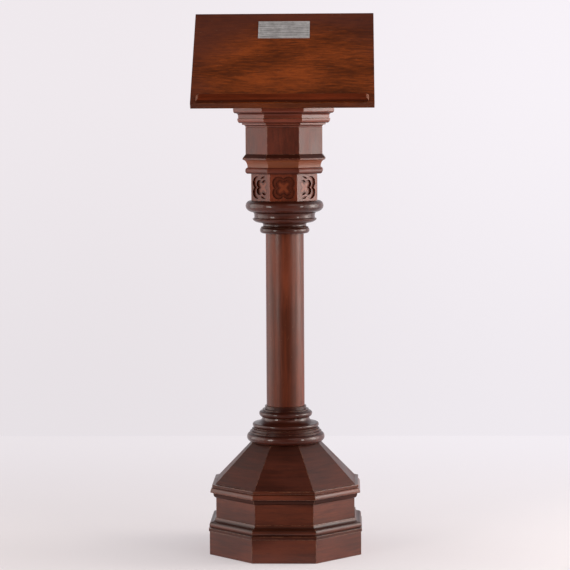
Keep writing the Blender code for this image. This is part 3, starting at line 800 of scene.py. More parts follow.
@dataclass
class Dresser:
    """Gives each finished piece its finish, its place on the frame and its line in the log."""

    finishes: dict[str, Material]
    nodes: dict[str, Piece]
    count: int = 0

    def dress(self, piece: Piece, slot: str, *nodes: str) -> None:
        """Finish a piece and let it stand for CAD nodes.

        Args:
            piece: The piece, at the origin with its place in its mesh.
            slot: The record's material slot.
            nodes: Names of the CAD nodes that it stands for.
        """
        if nodes:
            piece.name = f"{nodes[0]}_finished"
        piece.data.name = piece.name
        piece.data.materials.clear()
        piece.data.materials.append(self.finishes[slot])
        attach(piece, "root")
        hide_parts(*nodes)
        self.count += 1
        LOG.info("%s: %d faces, %s", piece.name, len(piece.data.polygons), slot)

    def keep(self, node: str, slot: str) -> None:
        """Give a CAD node that stays its finish.

        Args:
            node: Name of the node.
            slot: The record's material slot.
        """
        for place in self.nodes[node].material_slots:
            place.material = self.finishes[slot]
        LOG.info("%s: kept, %s", node, slot)


@dataclass
class Assembly:
    """What the sub-assemblies share: the dresser of their pieces, and the wood that these are cut from."""

    dresser: Dresser
    wood: dict[str, float] = field(default_factory=dict)
    wood_lean: Triple = (1.0, 1.0, 1.0)

    def own_wood(self, name: str) -> Vector:
        """Give the offset of a piece's own wood."""
        return Vector([self.wood[name] * lean for lean in self.wood_lean])


@dataclass
class Base(Assembly):
    """The stepped octagonal base: plinth, carcass, mouldings and sloping boards."""

    plinth_face: float = 187.0 * MM
    plinth_thick: float = 16.0 * MM
    plinth_height: float = 58.0 * MM
    moulding_top: float = 91.0 * MM
    fillet_height: float = 8.0 * MM
    fillet_projection: float = 2.0 * MM
    hollow_height: float = 2.0 * MM
    hollow_depth: float = 3.6 * MM
    nose_fall: float = 5.0 * MM
    ovolo_height: float = 8.5 * MM
    ovolo_depth: float = 5.4 * MM
    quirk: float = 1.6 * MM
    top_lip: float = 2.0 * MM
    carcass_face: float = 170.7 * MM
    carcass_thick: float = 18.0 * MM
    waist_bottom: float = 141.0 * MM
    top: float = 174.0 * MM
    waist_fillet: float = 6.5 * MM
    waist_fillet_projection: float = 9.5 * MM
    waist_quirk: float = 1.8 * MM
    nose_height: float = 12.0 * MM
    nose_projection: float = 14.0 * MM
    nose_edge: float = 1.4 * MM
    bed_projection: float = 7.0 * MM
    bed_drop: float = 1.5 * MM
    slope_top: float = 271.0 * MM
    foot_lap: float = 1.5 * MM
    slope_head: float = 82.8 * MM
    slope_thick: float = 16.0 * MM
    ease: float = 0.7 * MM
    # Tones of painted shade on the plinth's moulding and the waist moulding.
    fillet_tone: float = -0.45
    hollow_tone: float = -0.85
    hollow_turn: Range = (0.15, 0.4)
    bed_tone: float = -0.75
    waist_fillet_tone: float = -0.35
    wood: dict[str, float] = field(default_factory=lambda: {
        "plinth_board": 0.3, "plinth_moulding": 5.1, "carcass_board": 9.7, "waist_moulding": 14.2,
        "slope_board": 18.9})
    wood_lean: Triple = (1.0, 0.7, 0.0)
    wood_step: Vector = field(default_factory=lambda: Vector((0.61, 0.83, 0.37)))

    def ring(self, name: str, outline: Outline, slot: str, rule: ToneRule = shade_below) -> None:
        """Model one mitred length, copy it round the octagon and dress the copies.

        Args:
            name: Name of the ring's pieces.
            outline: Closed profile of the length.
            slot: Material slot.
            rule: Gives the tone of its faces.
        """
        length = raise_ring(name, outline, SIDES, solid=False)
        mitre_front(length, GLUE_LINE / 2)
        work_wood(length, self.ease, rule, Grain.ACROSS, self.own_wood(name))
        for side, copy in enumerate(copy_round(length)):
            move_grain(copy, self.wood_step, side)
            self.dresser.dress(copy, slot, f"{name}_{side + 1}")

    def moulding_tone(self, polygon: Face) -> float:
        """Give the tone of the plinth's moulding: painted shade on the fillet at its foot, under its round
        and in the hollow above where it looks up.

        Args:
            polygon: A face of the moulding.

        Returns:
            Its tone.
        """
        if polygon.center.z < self.plinth_height + self.fillet_height:
            return self.fillet_tone
        return shade_below(polygon) + self.hollow_tone * ramp(polygon.normal.z, *self.hollow_turn)

    def waist_tone(self, polygon: Face) -> float:
        """Give the tone of the waist moulding: painted shade on the bed under its nose and on the fillet at
        its top.

        Args:
            polygon: A face of the moulding.

        Returns:
            Its tone.
        """
        fillet_bottom = self.top - self.waist_fillet
        if polygon.center.z < fillet_bottom - self.nose_height - self.nose_edge:
            return self.bed_tone
        return self.waist_fillet_tone if polygon.center.z > fillet_bottom else 0.0

    def board(self, face: float, thick: float, top: float) -> Outline:
        """Draw the section of an upright board between its face and its back."""
        return Outline(face, 0.0).upright(top).level(face - thick).upright(0.0)

    def moulding(self) -> Outline:
        """Draw the section of the plinth's moulding.

        Returns:
            The closed section.
        """
        back = self.carcass_face + GLUE_LINE
        fillet = self.plinth_face + self.fillet_projection
        ovolo = fillet - self.quirk
        fillet_top = self.plinth_height + self.fillet_height
        hollow_top = fillet_top + self.hollow_height
        nose_level = hollow_top + self.nose_fall
        ovolo_top = nose_level + self.ovolo_height
        section = Outline(back, self.moulding_top).level(back + self.top_lip)
        section.from_upright(ovolo - self.ovolo_depth - self.quirk, ovolo_top)
        section.level(ovolo - self.ovolo_depth).from_level(ovolo, nose_level)
        section.from_upright(ovolo - self.hollow_depth, hollow_top).upright(fillet_top)
        return section.level(fillet).upright(self.plinth_height + GLUE_LINE).level(back)

    def waist(self) -> Outline:
        """Draw the section of the waist moulding.

        Returns:
            The closed section.
        """
        back = self.carcass_face + GLUE_LINE
        fillet = self.carcass_face + self.waist_fillet_projection
        fillet_bottom = self.top - self.waist_fillet
        edge_top = fillet_bottom - self.nose_height
        edge_bottom = edge_top - self.nose_edge
        section = Outline(back, self.top).level(fillet).upright(fillet_bottom)
        section.level(fillet - self.waist_quirk).upright(fillet_bottom - self.waist_quirk)
        section.from_level(self.carcass_face + self.nose_projection, edge_top).upright(edge_bottom)
        section.line(self.carcass_face + self.bed_projection, edge_bottom - self.bed_drop)
        return section.from_upright(back, self.waist_bottom)

    def slope(self) -> Outline:
        """Draw the section of a sloping board.

        Returns:
            The closed section.
        """
        foot = self.carcass_face + self.foot_lap
        bottom = self.top + GLUE_LINE
        level_thick = self.slope_thick / sin(atan2(self.slope_top - bottom, foot - self.slope_head))
        section = Outline(foot, bottom).line(self.slope_head, self.slope_top)
        return section.level(self.slope_head - level_thick).line(foot - level_thick, bottom)

    def build(self) -> None:
        """Build and dress the whole base."""
        plinth = self.board(self.plinth_face, self.plinth_thick, self.plinth_height)
        carcass = self.board(self.carcass_face, self.carcass_thick, self.top)
        self.ring("plinth_board", plinth, "plinth_wood")
        self.ring("plinth_moulding", self.moulding(), "plinth_wood", self.moulding_tone)
        self.ring("carcass_board", carcass, "carcass_wood")
        self.ring("waist_moulding", self.waist(), "carcass_wood", self.waist_tone)
        self.ring("slope_board", self.slope(), "slope_wood")
        self.dresser.keep("cap_block", "slope_wood")


@dataclass
class Column(Assembly):
    """The turned column: three discs at its foot, the shaft and three discs at its head."""

    foot: float = 271.0 * MM
    bore: float = 25.3 * MM
    tenon: float = 25.0 * MM
    tenon_foot: float = 226.0 * MM
    lower_seat: float = 83.5 * MM
    lower_torus: float = 96.8 * MM
    lower_torus_level: float = 283.4 * MM
    lower_step: float = 89.0 * MM
    lower_step_bottom: float = 293.8 * MM
    lower_step_top: float = 298.4 * MM
    lower_fillet: float = 84.0 * MM
    lower_top: float = 304.6 * MM
    middle_fillet: float = 80.4 * MM
    middle_fillet_top: float = 307.6 * MM
    middle_quirk: float = 78.2 * MM
    middle_bead: float = 82.6 * MM
    middle_bead_seat: float = 79.0 * MM
    middle_bead_bottom: float = 309.4 * MM
    middle_bead_top: float = 318.6 * MM
    scotia_neck: float = 58.5 * MM
    middle_top: float = 333.0 * MM
    upper_seat: float = 57.0 * MM
    upper_torus: float = 66.2 * MM
    upper_torus_level: float = 342.4 * MM
    upper_step: float = 57.5 * MM
    upper_step_bottom: float = 349.2 * MM
    upper_step_top: float = 353.1 * MM
    upper_fillet: float = 51.5 * MM
    shaft_foot: float = 361.2 * MM
    shaft_foot_radius: float = 47.3 * MM
    shaft_head_radius: float = 47.1 * MM
    shaft_head: float = 790.4 * MM
    neck_seat: float = 54.0 * MM
    neck_ring: float = 61.3 * MM
    neck_quirk: float = 56.0 * MM
    neck_ring_top: float = 805.4 * MM
    neck_rim: float = 58.8 * MM
    neck_rim_level: float = 806.4 * MM
    neck_throat: float = 53.4 * MM
    neck_throat_level: float = 810.6 * MM
    neck_top: float = 815.4 * MM
    disc_seat: float = 56.0 * MM
    disc_seat_top: float = 816.2 * MM
    disc_rim: float = 79.2 * MM
    disc_rim_level: float = 827.2 * MM
    disc_neck: float = 75.0 * MM
    disc_neck_level: float = 831.6 * MM
    scotia_lap: float = 2.4 * MM
    disc_top: float = 841.4 * MM
    torus_bottom: float = 842.4 * MM
    torus: float = 96.4 * MM
    torus_level: float = 858.4 * MM
    torus_seat: float = 84.0 * MM
    head: float = 871.7 * MM
    ease: float = 0.5 * MM
    ease_angle: float = 35.0
    sharp: float = 40.0
    upright_normal: float = 0.001
    # Tones of painted shade on the discs' fillets and on faces that look up.
    fillet_tone: float = -0.4
    ledge_tone: float = -0.6
    ledge_turn: Range = (0.4, 0.3)
    wood: dict[str, float] = field(default_factory=lambda: {
        "column_base_lower": 1.3, "column_base_middle": 2.7, "column_base_upper": 4.9, "shaft": 7.7,
        "neck_ring": 11.1, "capital_disc": 13.3, "capital_torus": 16.1})
    wood_lean: Triple = (1.0, 0.4, 0.9)

    def disc_tone(self, polygon: Face) -> float:
        """Give the tone of a turned disc: painted shade on its upright fillets and on its faces that look
        up, between polished rounds.

        Args:
            polygon: A face of the disc.

        Returns:
            Its tone.
        """
        if abs(polygon.normal.z) < self.upright_normal:
            return self.fillet_tone
        return self.ledge_tone * ramp(polygon.normal.z, *self.ledge_turn)

    def turn(self, name: str, outline: Outline, slot: str, bored: bool = True) -> None:
        """Turn one piece of the column and dress it.

        Args:
            name: Name of the piece.
            outline: Its profile from the top down.
            slot: Material slot.
            bored: Whether it is a disc, which the shaft's tenon passes through.
        """
        if bored:
            outline.level(self.bore).upright(outline.points[0][1])
        rule = self.disc_tone if bored else shade_below
        grain = Grain.ACROSS if bored else Grain.UPRIGHT
        piece = raise_ring(name, outline, TURNED_STEPS, solid=not bored)
        work_wood(
            piece, self.ease, rule, grain, self.own_wood(name), angle=self.ease_angle, sharp=self.sharp)
        self.dresser.dress(piece, slot, name)

    def build_foot(self) -> None:
        """Turn the three discs under the shaft."""
        lower = Outline(self.lower_fillet, self.lower_top).upright(self.lower_step_top)
        lower.level(self.lower_step).upright(self.lower_step_bottom)
        lower.from_level(self.lower_torus, self.lower_torus_level)
        lower.from_upright(self.lower_seat, self.foot + GLUE_LINE)
        self.turn("column_base_lower", lower, "base_disc_wood")

        seat = self.middle_bead_seat
        middle = Outline(self.scotia_neck, self.middle_top).from_upright(seat, self.middle_bead_top)
        middle.half_round(seat, self.middle_bead_bottom, self.middle_bead - seat)
        middle.line(self.middle_quirk, self.middle_fillet_top).level(self.middle_fillet)
        middle.upright(self.lower_top + GLUE_LINE)
        self.turn("column_base_middle", middle, "base_disc_wood")

        upper = Outline(self.upper_fillet, self.shaft_foot).upright(self.upper_step_top)
        upper.level(self.upper_step).upright(self.upper_step_bottom)
        upper.from_level(self.upper_torus, self.upper_torus_level)
        upper.from_upright(self.upper_seat, self.middle_top + GLUE_LINE)
        self.turn("column_base_upper", upper, "base_disc_wood")

    def build_shaft(self) -> None:
        """Turn the shaft with the tenons that hold the discs."""
        shaft = Outline(self.tenon, self.head).upright(self.shaft_head).level(self.shaft_head_radius)
        shaft.line(self.shaft_foot_radius, self.shaft_foot + GLUE_LINE)
        shaft.level(self.tenon).upright(self.tenon_foot)
        self.turn("shaft", shaft, "shaft_wood", bored=False)

    def build_head(self) -> None:
        """Turn the three discs over the shaft."""
        swell = self.neck_ring - (self.neck_quirk + self.neck_seat) / 2
        neck = Outline(self.neck_throat + self.scotia_lap, self.neck_top)
        neck.from_level(self.neck_throat, self.neck_throat_level)
        neck.from_upright(self.neck_rim, self.neck_rim_level).upright(self.neck_ring_top)
        neck.level(self.neck_quirk).half_round(self.neck_seat, self.shaft_head + GLUE_LINE, swell)
        self.turn("neck_ring", neck, "capital_disc_wood")

        disc = Outline(self.disc_neck + self.scotia_lap, self.disc_top)
        disc.from_level(self.disc_neck, self.disc_neck_level)
        disc.from_upright(self.disc_rim, self.disc_rim_level)
        disc.from_upright(self.disc_seat, self.disc_seat_top).upright(self.neck_top + GLUE_LINE)
        self.turn("capital_disc", disc, "capital_disc_wood")

        torus = Outline(self.torus_seat, self.head).from_level(self.torus, self.torus_level)
        torus.from_upright(self.disc_neck, self.torus_bottom).upright(self.disc_top + GLUE_LINE)
        self.turn("capital_torus", torus, "capital_disc_wood")

    def build(self) -> None:
        """Build and dress the whole column."""
        self.build_foot()
        self.build_shaft()
        self.build_head()


@dataclass
class Capital(Assembly):
    """The octagonal capital: carved drum, band course, upper drum and cornice."""

    bottom: float = 871.7 * MM
    drum_top: float = 938.2 * MM
    drum_face: float = 80.7 * MM
    foil_offset: float = 12.3 * MM
    foil_radius: float = 15.5 * MM
    foil_depth: float = 4.5 * MM
    petal_offset: float = 9.0 * MM
    petal_radius: float = 9.6 * MM
    petal_depth: float = 4.5 * MM
    petal_rim: float = 6.4 * MM
    proud: float = 3.0 * MM
    draft: float = 0.03
    least_panel: float = 0.02
    astragal_seat: float = 88.5 * MM
    astragal_swell: float = 6.0 * MM
    cove: float = 89.3 * MM
    cove_bottom: float = 953.4 * MM
    drip: float = 101.2 * MM
    drip_bottom: float = 972.9 * MM
    drip_top: float = 976.7 * MM
    band_top: float = 986.2 * MM
    upper_face: float = 93.75 * MM
    upper_top: float = 1052.2 * MM
    bed: float = 99.8 * MM
    bed_top: float = 1058.2 * MM
    fillet: float = 102.2 * MM
    fillet_top: float = 1062.7 * MM
    hollow_foot: float = 107.5 * MM
    hollow_lip: float = 113.4 * MM
    cornice_top: float = 1073.7 * MM
    ogee_foot: float = 111.4 * MM
    ogee_bottom: float = 1080.2 * MM
    ogee_middle: float = 117.3 * MM
    ogee_level: float = 1086.45 * MM
    crown: float = 123.2 * MM
    crown_bottom: float = 1092.7 * MM
    top: float = 1099.2 * MM
    ease: float = 0.7 * MM
    cornice_ease: float = 1.2 * MM
    carving_ease: float = 0.4 * MM
    carving_ease_angle: float = 38.0
    carving_wood: Triple = (19.0, 3.0, 7.0)
    # Tones of the carving: painted shade on walls, steps and floor, and a paler boss.
    wall_lean: float = 0.7
    wall_tone: float = -0.75
    step_tone: float = -0.45
    floor_tone: float = -0.25
    boss_tone: float = 0.5
    boss_radius: float = 1.0 * MM
    # Painted shade on the band course's chamfer; a paler cove, lighter wood with painted bounce light.
    chamfer_tone: float = -0.8
    cove_tone: float = 0.42
    wood: dict[str, float] = field(default_factory=lambda: {
        "band_course": 21.0, "upper_drum": 24.0, "cornice_lower": 27.0, "cornice_upper": 30.0})
    wood_lean: Triple = (1.0, 0.6, 0.3)

    def block(self, name: str, outline: Outline, slot: str, grain: Grain, rule: ToneRule,
              ease: float) -> None:
        """Raise an octagonal block and dress it.

        Args:
            name: Name of the block.
            outline: Its profile from the top down.
            slot: Material slot.
            grain: The way that its grain runs.
            rule: Gives the tone of its faces.
            ease: Width of its rounded edges.
        """
        piece = raise_ring(name, outline, SIDES, solid=True)
        work_wood(piece, ease, rule, grain, self.own_wood(name))
        self.dresser.dress(piece, slot, name)

    def cut_foil(self, panel: Piece, offset: float, radius: float, depth: float) -> None:
        """Cut one quatrefoil, with a cutter made by bringing a circle's points to its lobes.

        Args:
            panel: The drum's front.
            offset: Distance of each lobe's centre from the foil's two middle lines.
            radius: Radius of the lobes.
            depth: Depth of the recess.
        """
        middle = (self.bottom + self.drum_top) / 2
        clear_selection()
        bpy.ops.mesh.primitive_circle_add(
            vertices=4 * LOBE_STEPS, radius=radius, fill_type="NGON", rotation=(pi / 2, 0.0, 0.0),
            location=(0.0, depth - self.drum_face, middle))
        cutter = bpy.context.object
        opening = asin(offset / radius)
        sweep = pi / 2 + 2 * opening
        for index, vert in enumerate(cutter.data.vertices):
            lobe, step = divmod(index, LOBE_STEPS)
            angle = lobe * pi / 2 - opening + sweep * step / LOBE_STEPS
            centre = Matrix.Rotation(lobe * pi / 2, 2) @ Vector((offset, offset))
            vert.co.xy = (centre + Vector((cos(angle), sin(angle))) * radius) * (1.0 - self.draft)
        widen = 1.0 / (1.0 - self.draft)
        way = (0.0, -depth - self.proud, 0.0)
        with edit_all(cutter):
            bpy.ops.mesh.extrude_region_move(TRANSFORM_OT_translate={"value": way})
            bpy.ops.transform.resize(value=(widen, 1.0, widen), center_override=(0.0, 0.0, middle))
        settle(cutter)
        close_shell(cutter)
        apply_modifier(panel, "Carving", "BOOLEAN", operation="DIFFERENCE", solver="EXACT", object=cutter)
        bpy.data.objects.remove(cutter, do_unlink=True)

    def open_panel(self, panel: Piece) -> None:
        """Take off the panel's mitred sides and inset the floor of its inner quatrefoil.

        Args:
            panel: The drum's carved front.
        """
        make_only(panel)
        bpy.ops.object.mode_set(mode="EDIT")
        shape = bmesh.from_edit_mesh(panel.data)
        least = (self.drum_face * self.least_panel) ** 2
        for face in shape.faces:
            across = [abs(abs(v.co.x) * cos(HALF_SIDE) + v.co.y * sin(HALF_SIDE)) for v in face.verts]
            mitred = max(across) < WELD * 10 and face.calc_area() > least
            face.select_set(abs(face.normal.z) < LEANS and mitred)
        bmesh.update_edit_mesh(panel.data)
        bpy.ops.mesh.delete(type="FACE")
        floor = self.drum_face - self.foil_depth - 0.5 * self.petal_depth
        shape = bmesh.from_edit_mesh(panel.data)
        for face in shape.faces:
            if face.normal.y < -FACES and face.calc_center_median().y > -floor:
                face.select_set(True)
        bmesh.update_edit_mesh(panel.data)
        bpy.ops.mesh.inset(thickness=self.petal_rim, depth=0.0, use_even_offset=False)
        bpy.ops.object.mode_set(mode="OBJECT")

    def carving_tone(self, polygon: Face) -> float:
        """Give the tone of the carving: painted shade on its walls, on the front's steps and on its floor,
        with a paler boss in the middle.

        Args:
            polygon: A face of the drum.

        Returns:
            Its tone.
        """
        centre = polygon.center
        side = round(atan2(centre.y, centre.x) / SIDE_ANGLE) * SIDE_ANGLE
        outwards = Vector((cos(side), sin(side), 0.0))
        depth = self.drum_face - centre.dot(outwards)
        if abs(polygon.normal.z) > FACES and depth > 2 * self.foil_depth:
            return 0.0
        if depth > 0.1 * self.foil_depth and polygon.normal.dot(outwards) < self.wall_lean:
            return self.wall_tone
        if depth > self.foil_depth + 0.5 * self.petal_depth:
            aside = (centre - outwards * centre.dot(outwards)).xy.length
            return self.boss_tone if aside < self.boss_radius else self.floor_tone
        return self.step_tone if depth > 0.5 * self.foil_depth and outwards.y < -FACES else 0.0

    def build_carved_drum(self) -> None:
        """Carve one side of the drum, copy it round and close the drum."""
        drum = Outline(self.drum_face, self.drum_top).upright(self.bottom + GLUE_LINE)
        panel = raise_ring("carved_drum", drum, SIDES, solid=True)
        mitre_front(panel, 0.0)
        self.cut_foil(panel, self.foil_offset, self.foil_radius, self.foil_depth)
        self.cut_foil(panel, self.petal_offset, self.petal_radius, self.foil_depth + self.petal_depth)
        self.open_panel(panel)
        make_only(*copy_round(panel))
        bpy.ops.object.join()
        piece = bpy.context.object
        close_shell(piece)
        work_wood(
            piece, self.carving_ease, self.carving_tone, Grain.UPRIGHT, Vector(self.carving_wood),
            angle=self.carving_ease_angle)
        self.dresser.dress(piece, "carved_wood", "carved_drum")

    def band_tone(self, polygon: Face) -> float:
        """Give the tone of the band course: painted shade on the chamfer and under the astragal, over a
        paler cove that is lighter wood with painted bounce light.

        Args:
            polygon: A face of the band course.

        Returns:
            Its tone.
        """
        height = polygon.center.z
        if height > self.drip_top:
            return self.chamfer_tone
        if self.cove_bottom < height < self.drip_bottom:
            return self.cove_tone
        return shade_below(polygon)

    def build(self) -> None:
        """Build and dress the whole capital."""
        self.build_carved_drum()

        band = Outline(self.upper_face, self.band_top).line(self.drip, self.drip_top)
        band.upright(self.drip_bottom).from_level(self.cove, self.cove_bottom)
        band.half_round(self.astragal_seat, self.drum_top + GLUE_LINE, self.astragal_swell)
        self.block("band_course", band, "drum_wood", Grain.ROUND, self.band_tone, self.ease)

        drum = Outline(self.upper_face, self.upper_top).upright(self.band_top + GLUE_LINE)
        self.block("upper_drum", drum, "drum_wood", Grain.UPRIGHT, shade_below, self.ease)

        lower = Outline(self.hollow_lip, self.cornice_top).from_upright(self.hollow_foot, self.fillet_top)
        lower.level(self.fillet).upright(self.bed_top).level(self.bed)
        lower.from_level(self.upper_face, self.upper_top + GLUE_LINE)
        self.block("cornice_lower", lower, "cornice_wood", Grain.ROUND, shade_under, self.cornice_ease)

        upper = Outline(self.crown, self.top).upright(self.crown_bottom)
        upper.from_upright(self.ogee_middle, self.ogee_level).from_level(self.ogee_foot, self.ogee_bottom)
        upper.upright(self.cornice_top + GLUE_LINE)
        self.block("cornice_upper", upper, "cornice_wood", Grain.ROUND, shade_under, self.cornice_ease)


@dataclass
class Desk(Assembly):
    """The sloping desk: its box, board, book ledge and plaque."""

    slope: float = radians(45.0)
    arris_y: float = -137.2 * MM
    arris_z: float = 1098.0 * MM
    width: float = 443.0 * MM
    length: float = 315.0 * MM
    thick: float = 18.0 * MM
    ease: float = 1.2 * MM
    ease_segments: int = 4
    sharp: float = 40.0
    board_wood: Triple = (40.0, 0.0, 0.0)
    eased_normals: Range = (0.01, 0.99)
    # Tones of painted shade on the board's edges, ends and underside.
    arris_tone: float = -0.7
    end_tone: float = -0.5
    under_tone: float = -0.6
    cornice_top: float = 1099.2 * MM
    box_front: float = -85.2 * MM
    box_back: float = 59.8 * MM
    box_width: float = 164.0 * MM
    box_thick: float = 18.0 * MM
    box_ease: float = 0.8 * MM
    box_wood: Triple = (33.0, 2.0, 5.0)
    ledge_length: float = 415.0 * MM
    ledge_width: float = 19.0 * MM
    ledge_height: float = 11.5 * MM
    ledge_margin: float = 1.0 * MM
    ledge_recess: float = 2.5 * MM
    ledge_foot: float = 3.2 * MM
    ledge_nose: float = 1.5 * MM
    ledge_top: float = 5.0 * MM
    ledge_ease: float = 0.9 * MM
    ledge_wood: Triple = (44.0, 1.0, 0.5)
    # Painted shade in the ledge's recess and towards its nose; paler, rubbed ends.
    recess_tone: float = -1.0
    return_lean: float = 0.3
    return_tone: float = 0.3
    ledge_tones: Range = (-0.2, -0.75)
    nose_turn: Range = (0.45, 0.3)
    plaque_width: float = 127.0 * MM
    plaque_height: float = 60.0 * MM
    plaque_thick: float = 1.2 * MM
    plaque_drop: float = 30.0 * MM
    plaque_ease: float = 0.2 * MM
    rim_width: float = 2.0 * MM
    rim_slope: float = 0.6 * MM
    rim_height: float = 0.4 * MM
    pin_radius: float = 2.0 * MM
    pin_crown: float = 0.15
    pin_height: float = 0.9 * MM
    pin_sink: float = 0.3 * MM
    pin_inset: float = 5.5 * MM
    pin_sides: int = 20
    pin_ease: float = 0.05 * MM
    pin_sharp: float = 60.0

    @property
    def frame(self) -> Matrix:
        """The desk's own axes: X across, Y up the slope and Z out of the board, from its lower arris."""
        return Matrix.Translation((0.0, self.arris_y, self.arris_z)) @ Matrix.Rotation(self.slope, 4, "X")

    def slab(self, name: str, low: Vector, high: Vector) -> Piece:
        """Add a cube and scale it to a slab between two corners.

        Args:
            name: Name of the piece.
            low: Lowest corner.
            high: Highest corner.

        Returns:
            The slab.
        """
        clear_selection()
        bpy.ops.mesh.primitive_cube_add(size=1.0, location=(low + high) / 2)
        piece = bpy.context.object
        piece.name = name
        piece.scale = high - low
        settle(piece)
        return piece

    def lift(self, piece: Piece, spot: Triple = (0.0, 0.0, 0.0)) -> None:
        """Move a piece to its spot on the desk's own axes, and from these to its place.

        Args:
            piece: The piece, drawn at the origin.
            spot: Its spot on the desk's own axes.
        """
        piece.location = spot
        settle(piece)
        piece.matrix_world = self.frame
        settle(piece)

    def build_support(self, name: str, sides: Range, depth: Range, grain: Grain) -> None:
        """Stand a board of the box between the cornice and the desk.

        Args:
            name: Name of the board.
            sides: Its left and right side.
            depth: Its front and back.
            grain: The way that its grain runs.
        """
        low = Vector((sides[0], depth[0], self.cornice_top + GLUE_LINE))
        high = Vector((sides[1], depth[1], self.arris_z + self.length))
        board = self.slab(name, low, high)
        normal = self.frame.to_3x3() @ Vector((0.0, 0.0, 1.0))
        slice_off(board, self.frame.translation - normal * GLUE_LINE, normal)
        close_shell(board)
        across, up, deep = self.box_wood
        wood = Vector((across + sides[0], up, deep + depth[0]))
        work_wood(board, self.box_ease, shade_below, grain, wood)
        self.dresser.dress(board, "desk_box_wood", name)

    def build_box(self) -> None:
        """Build the cheeks, the front rail and the back board under the desk."""
        half = self.box_width / 2
        inner = half - self.box_thick - GLUE_LINE
        front, back, thick = self.box_front, self.box_back, self.box_thick
        self.build_support("desk_cheek_left", (-half, -half + thick), (front, back), Grain.UPRIGHT)
        self.build_support("desk_cheek_right", (half - thick, half), (front, back), Grain.UPRIGHT)
        self.build_support("desk_front_rail", (-inner, inner), (front, front + thick), Grain.ACROSS)
        self.build_support("desk_back_board", (-inner, inner), (back - thick, back), Grain.ACROSS)

    def board_tone(self, polygon: Face) -> float:
        """Give the tone of the board: painted shade on its eased edges, its lower edge, its ends and
        underneath.

        Args:
            polygon: A face of the board, on the desk's own axes.

        Returns:
            Its tone.
        """
        normal = polygon.normal
        low, high = self.eased_normals
        if normal.y < -LEANS or low < abs(normal.z) < high:
            return self.arris_tone
        if abs(normal.x) > LEANS:
            return self.end_tone
        return self.under_tone if normal.z < -LEANS else 0.0

    def build_board(self) -> None:
        """Build the sloping board."""
        half = self.width / 2
        board = self.slab("desk_board", Vector((-half, 0.0, 0.0)), Vector((half, self.length, self.thick)))
        work_wood(
            board, self.ease, self.board_tone, Grain.ACROSS, Vector(self.board_wood),
            segments=self.ease_segments, sharp=self.sharp)
        self.lift(board)
        self.dresser.dress(board, "desk_board_wood", "desk_board")

    def ledge_tone(self, polygon: Face) -> float:
        """Give the tone of the ledge: painted shade in its recess and towards its nose, and paler, rubbed
        ends.

        Args:
            polygon: A face of the ledge, on the desk's own axes.

        Returns:
            Its tone.
        """
        if polygon.center.z < self.ledge_foot:
            return self.recess_tone
        if abs(polygon.normal.x) > self.return_lean:
            return self.return_tone
        top, nose = self.ledge_tones
        return top + nose * ramp(-polygon.normal.y, *self.nose_turn)

    def ledge_size(self, inset: float) -> Point:
        """Give the ledge's length and width at an inset from its nose and ends."""
        return self.ledge_length - 2 * inset, self.ledge_width - inset

    def build_ledge(self) -> None:
        """Raise the ledge through its profile, returned at both ends and upright at the back."""
        profile = Outline(self.ledge_recess, 0.0).upright(self.ledge_foot).level(0.0)
        profile.upright(self.ledge_foot + self.ledge_nose)
        profile.from_upright(self.ledge_width - self.ledge_top, self.ledge_height)
        clear_selection()
        middle = (self.ledge_width + self.ledge_recess) / 2
        bpy.ops.mesh.primitive_plane_add(size=1.0, location=(0.0, middle, 0.0))
        ledge = bpy.context.object
        ledge.scale = (*self.ledge_size(self.ledge_recess), 1.0)
        settle(ledge)
        with edit_all(ledge):
            extrude_through(profile.points, self.ledge_size, (0.0, self.ledge_width, 0.0))
        close_shell(ledge)
        work_wood(ledge, self.ledge_ease, self.ledge_tone, Grain.ACROSS, Vector(self.ledge_wood))
        self.lift(ledge, (0.0, self.ledge_margin, self.thick + GLUE_LINE))
        self.dresser.dress(ledge, "ledge_wood", "book_ledge")

    def build_plaque(self) -> None:
        """Build the bare metal plaque with a raised rim and a pin at each corner."""
        half = self.plaque_width / 2
        bottom = self.length - self.plaque_drop - self.plaque_height
        low = Vector((-half, bottom, self.thick + GLUE_LINE))
        top = low.z + self.plaque_thick
        plaque = self.slab("plaque", low, Vector((half, bottom + self.plaque_height, top)))
        bpy.ops.object.mode_set(mode="EDIT")
        shape = bmesh.from_edit_mesh(plaque.data)
        shape.normal_update()
        for face in shape.faces:
            face.select_set(face.normal.z > LEANS)
        bmesh.update_edit_mesh(plaque.data)
        bpy.ops.mesh.inset(thickness=self.rim_width, depth=0.0)
        bpy.ops.mesh.inset(thickness=self.rim_slope, depth=-self.rim_height)
        bpy.ops.object.mode_set(mode="OBJECT")
        ease_edges(plaque, self.plaque_ease)
        smooth(plaque)
        self.lift(plaque)
        self.dresser.dress(plaque, "plaque_metal", "plaque")
        across = half - self.pin_inset
        up = self.plaque_height / 2 - self.pin_inset
        middle = bottom + self.plaque_height / 2
        for corner, (x, y) in enumerate(((-1, -1), (1, -1), (1, 1), (-1, 1))):
            spot = (x * across, middle + y * up, 0.0)
            self.build_pin(f"plaque_pin_{corner + 1}", spot, top - self.pin_sink)

    def build_pin(self, name: str, spot: Triple, base: float) -> None:
        """Raise the domed head of one plaque pin.

        Args:
            name: Name of the pin.
            spot: Its place on the desk's own axes.
            base: Height of its foot over the board's underside.
        """
        dome = Outline(self.pin_crown * self.pin_radius, base + self.pin_height)
        pin = raise_ring(name, dome.from_level(self.pin_radius, base), self.pin_sides, solid=True)
        ease_edges(pin, self.pin_ease)
        smooth(pin, self.pin_sharp)
        self.lift(pin, spot)
        self.dresser.dress(pin, "plaque_metal")

    def build(self) -> None:
        """Build and dress the whole desk."""
        self.build_box()
        self.build_board()
        self.build_ledge()
        self.build_plaque()


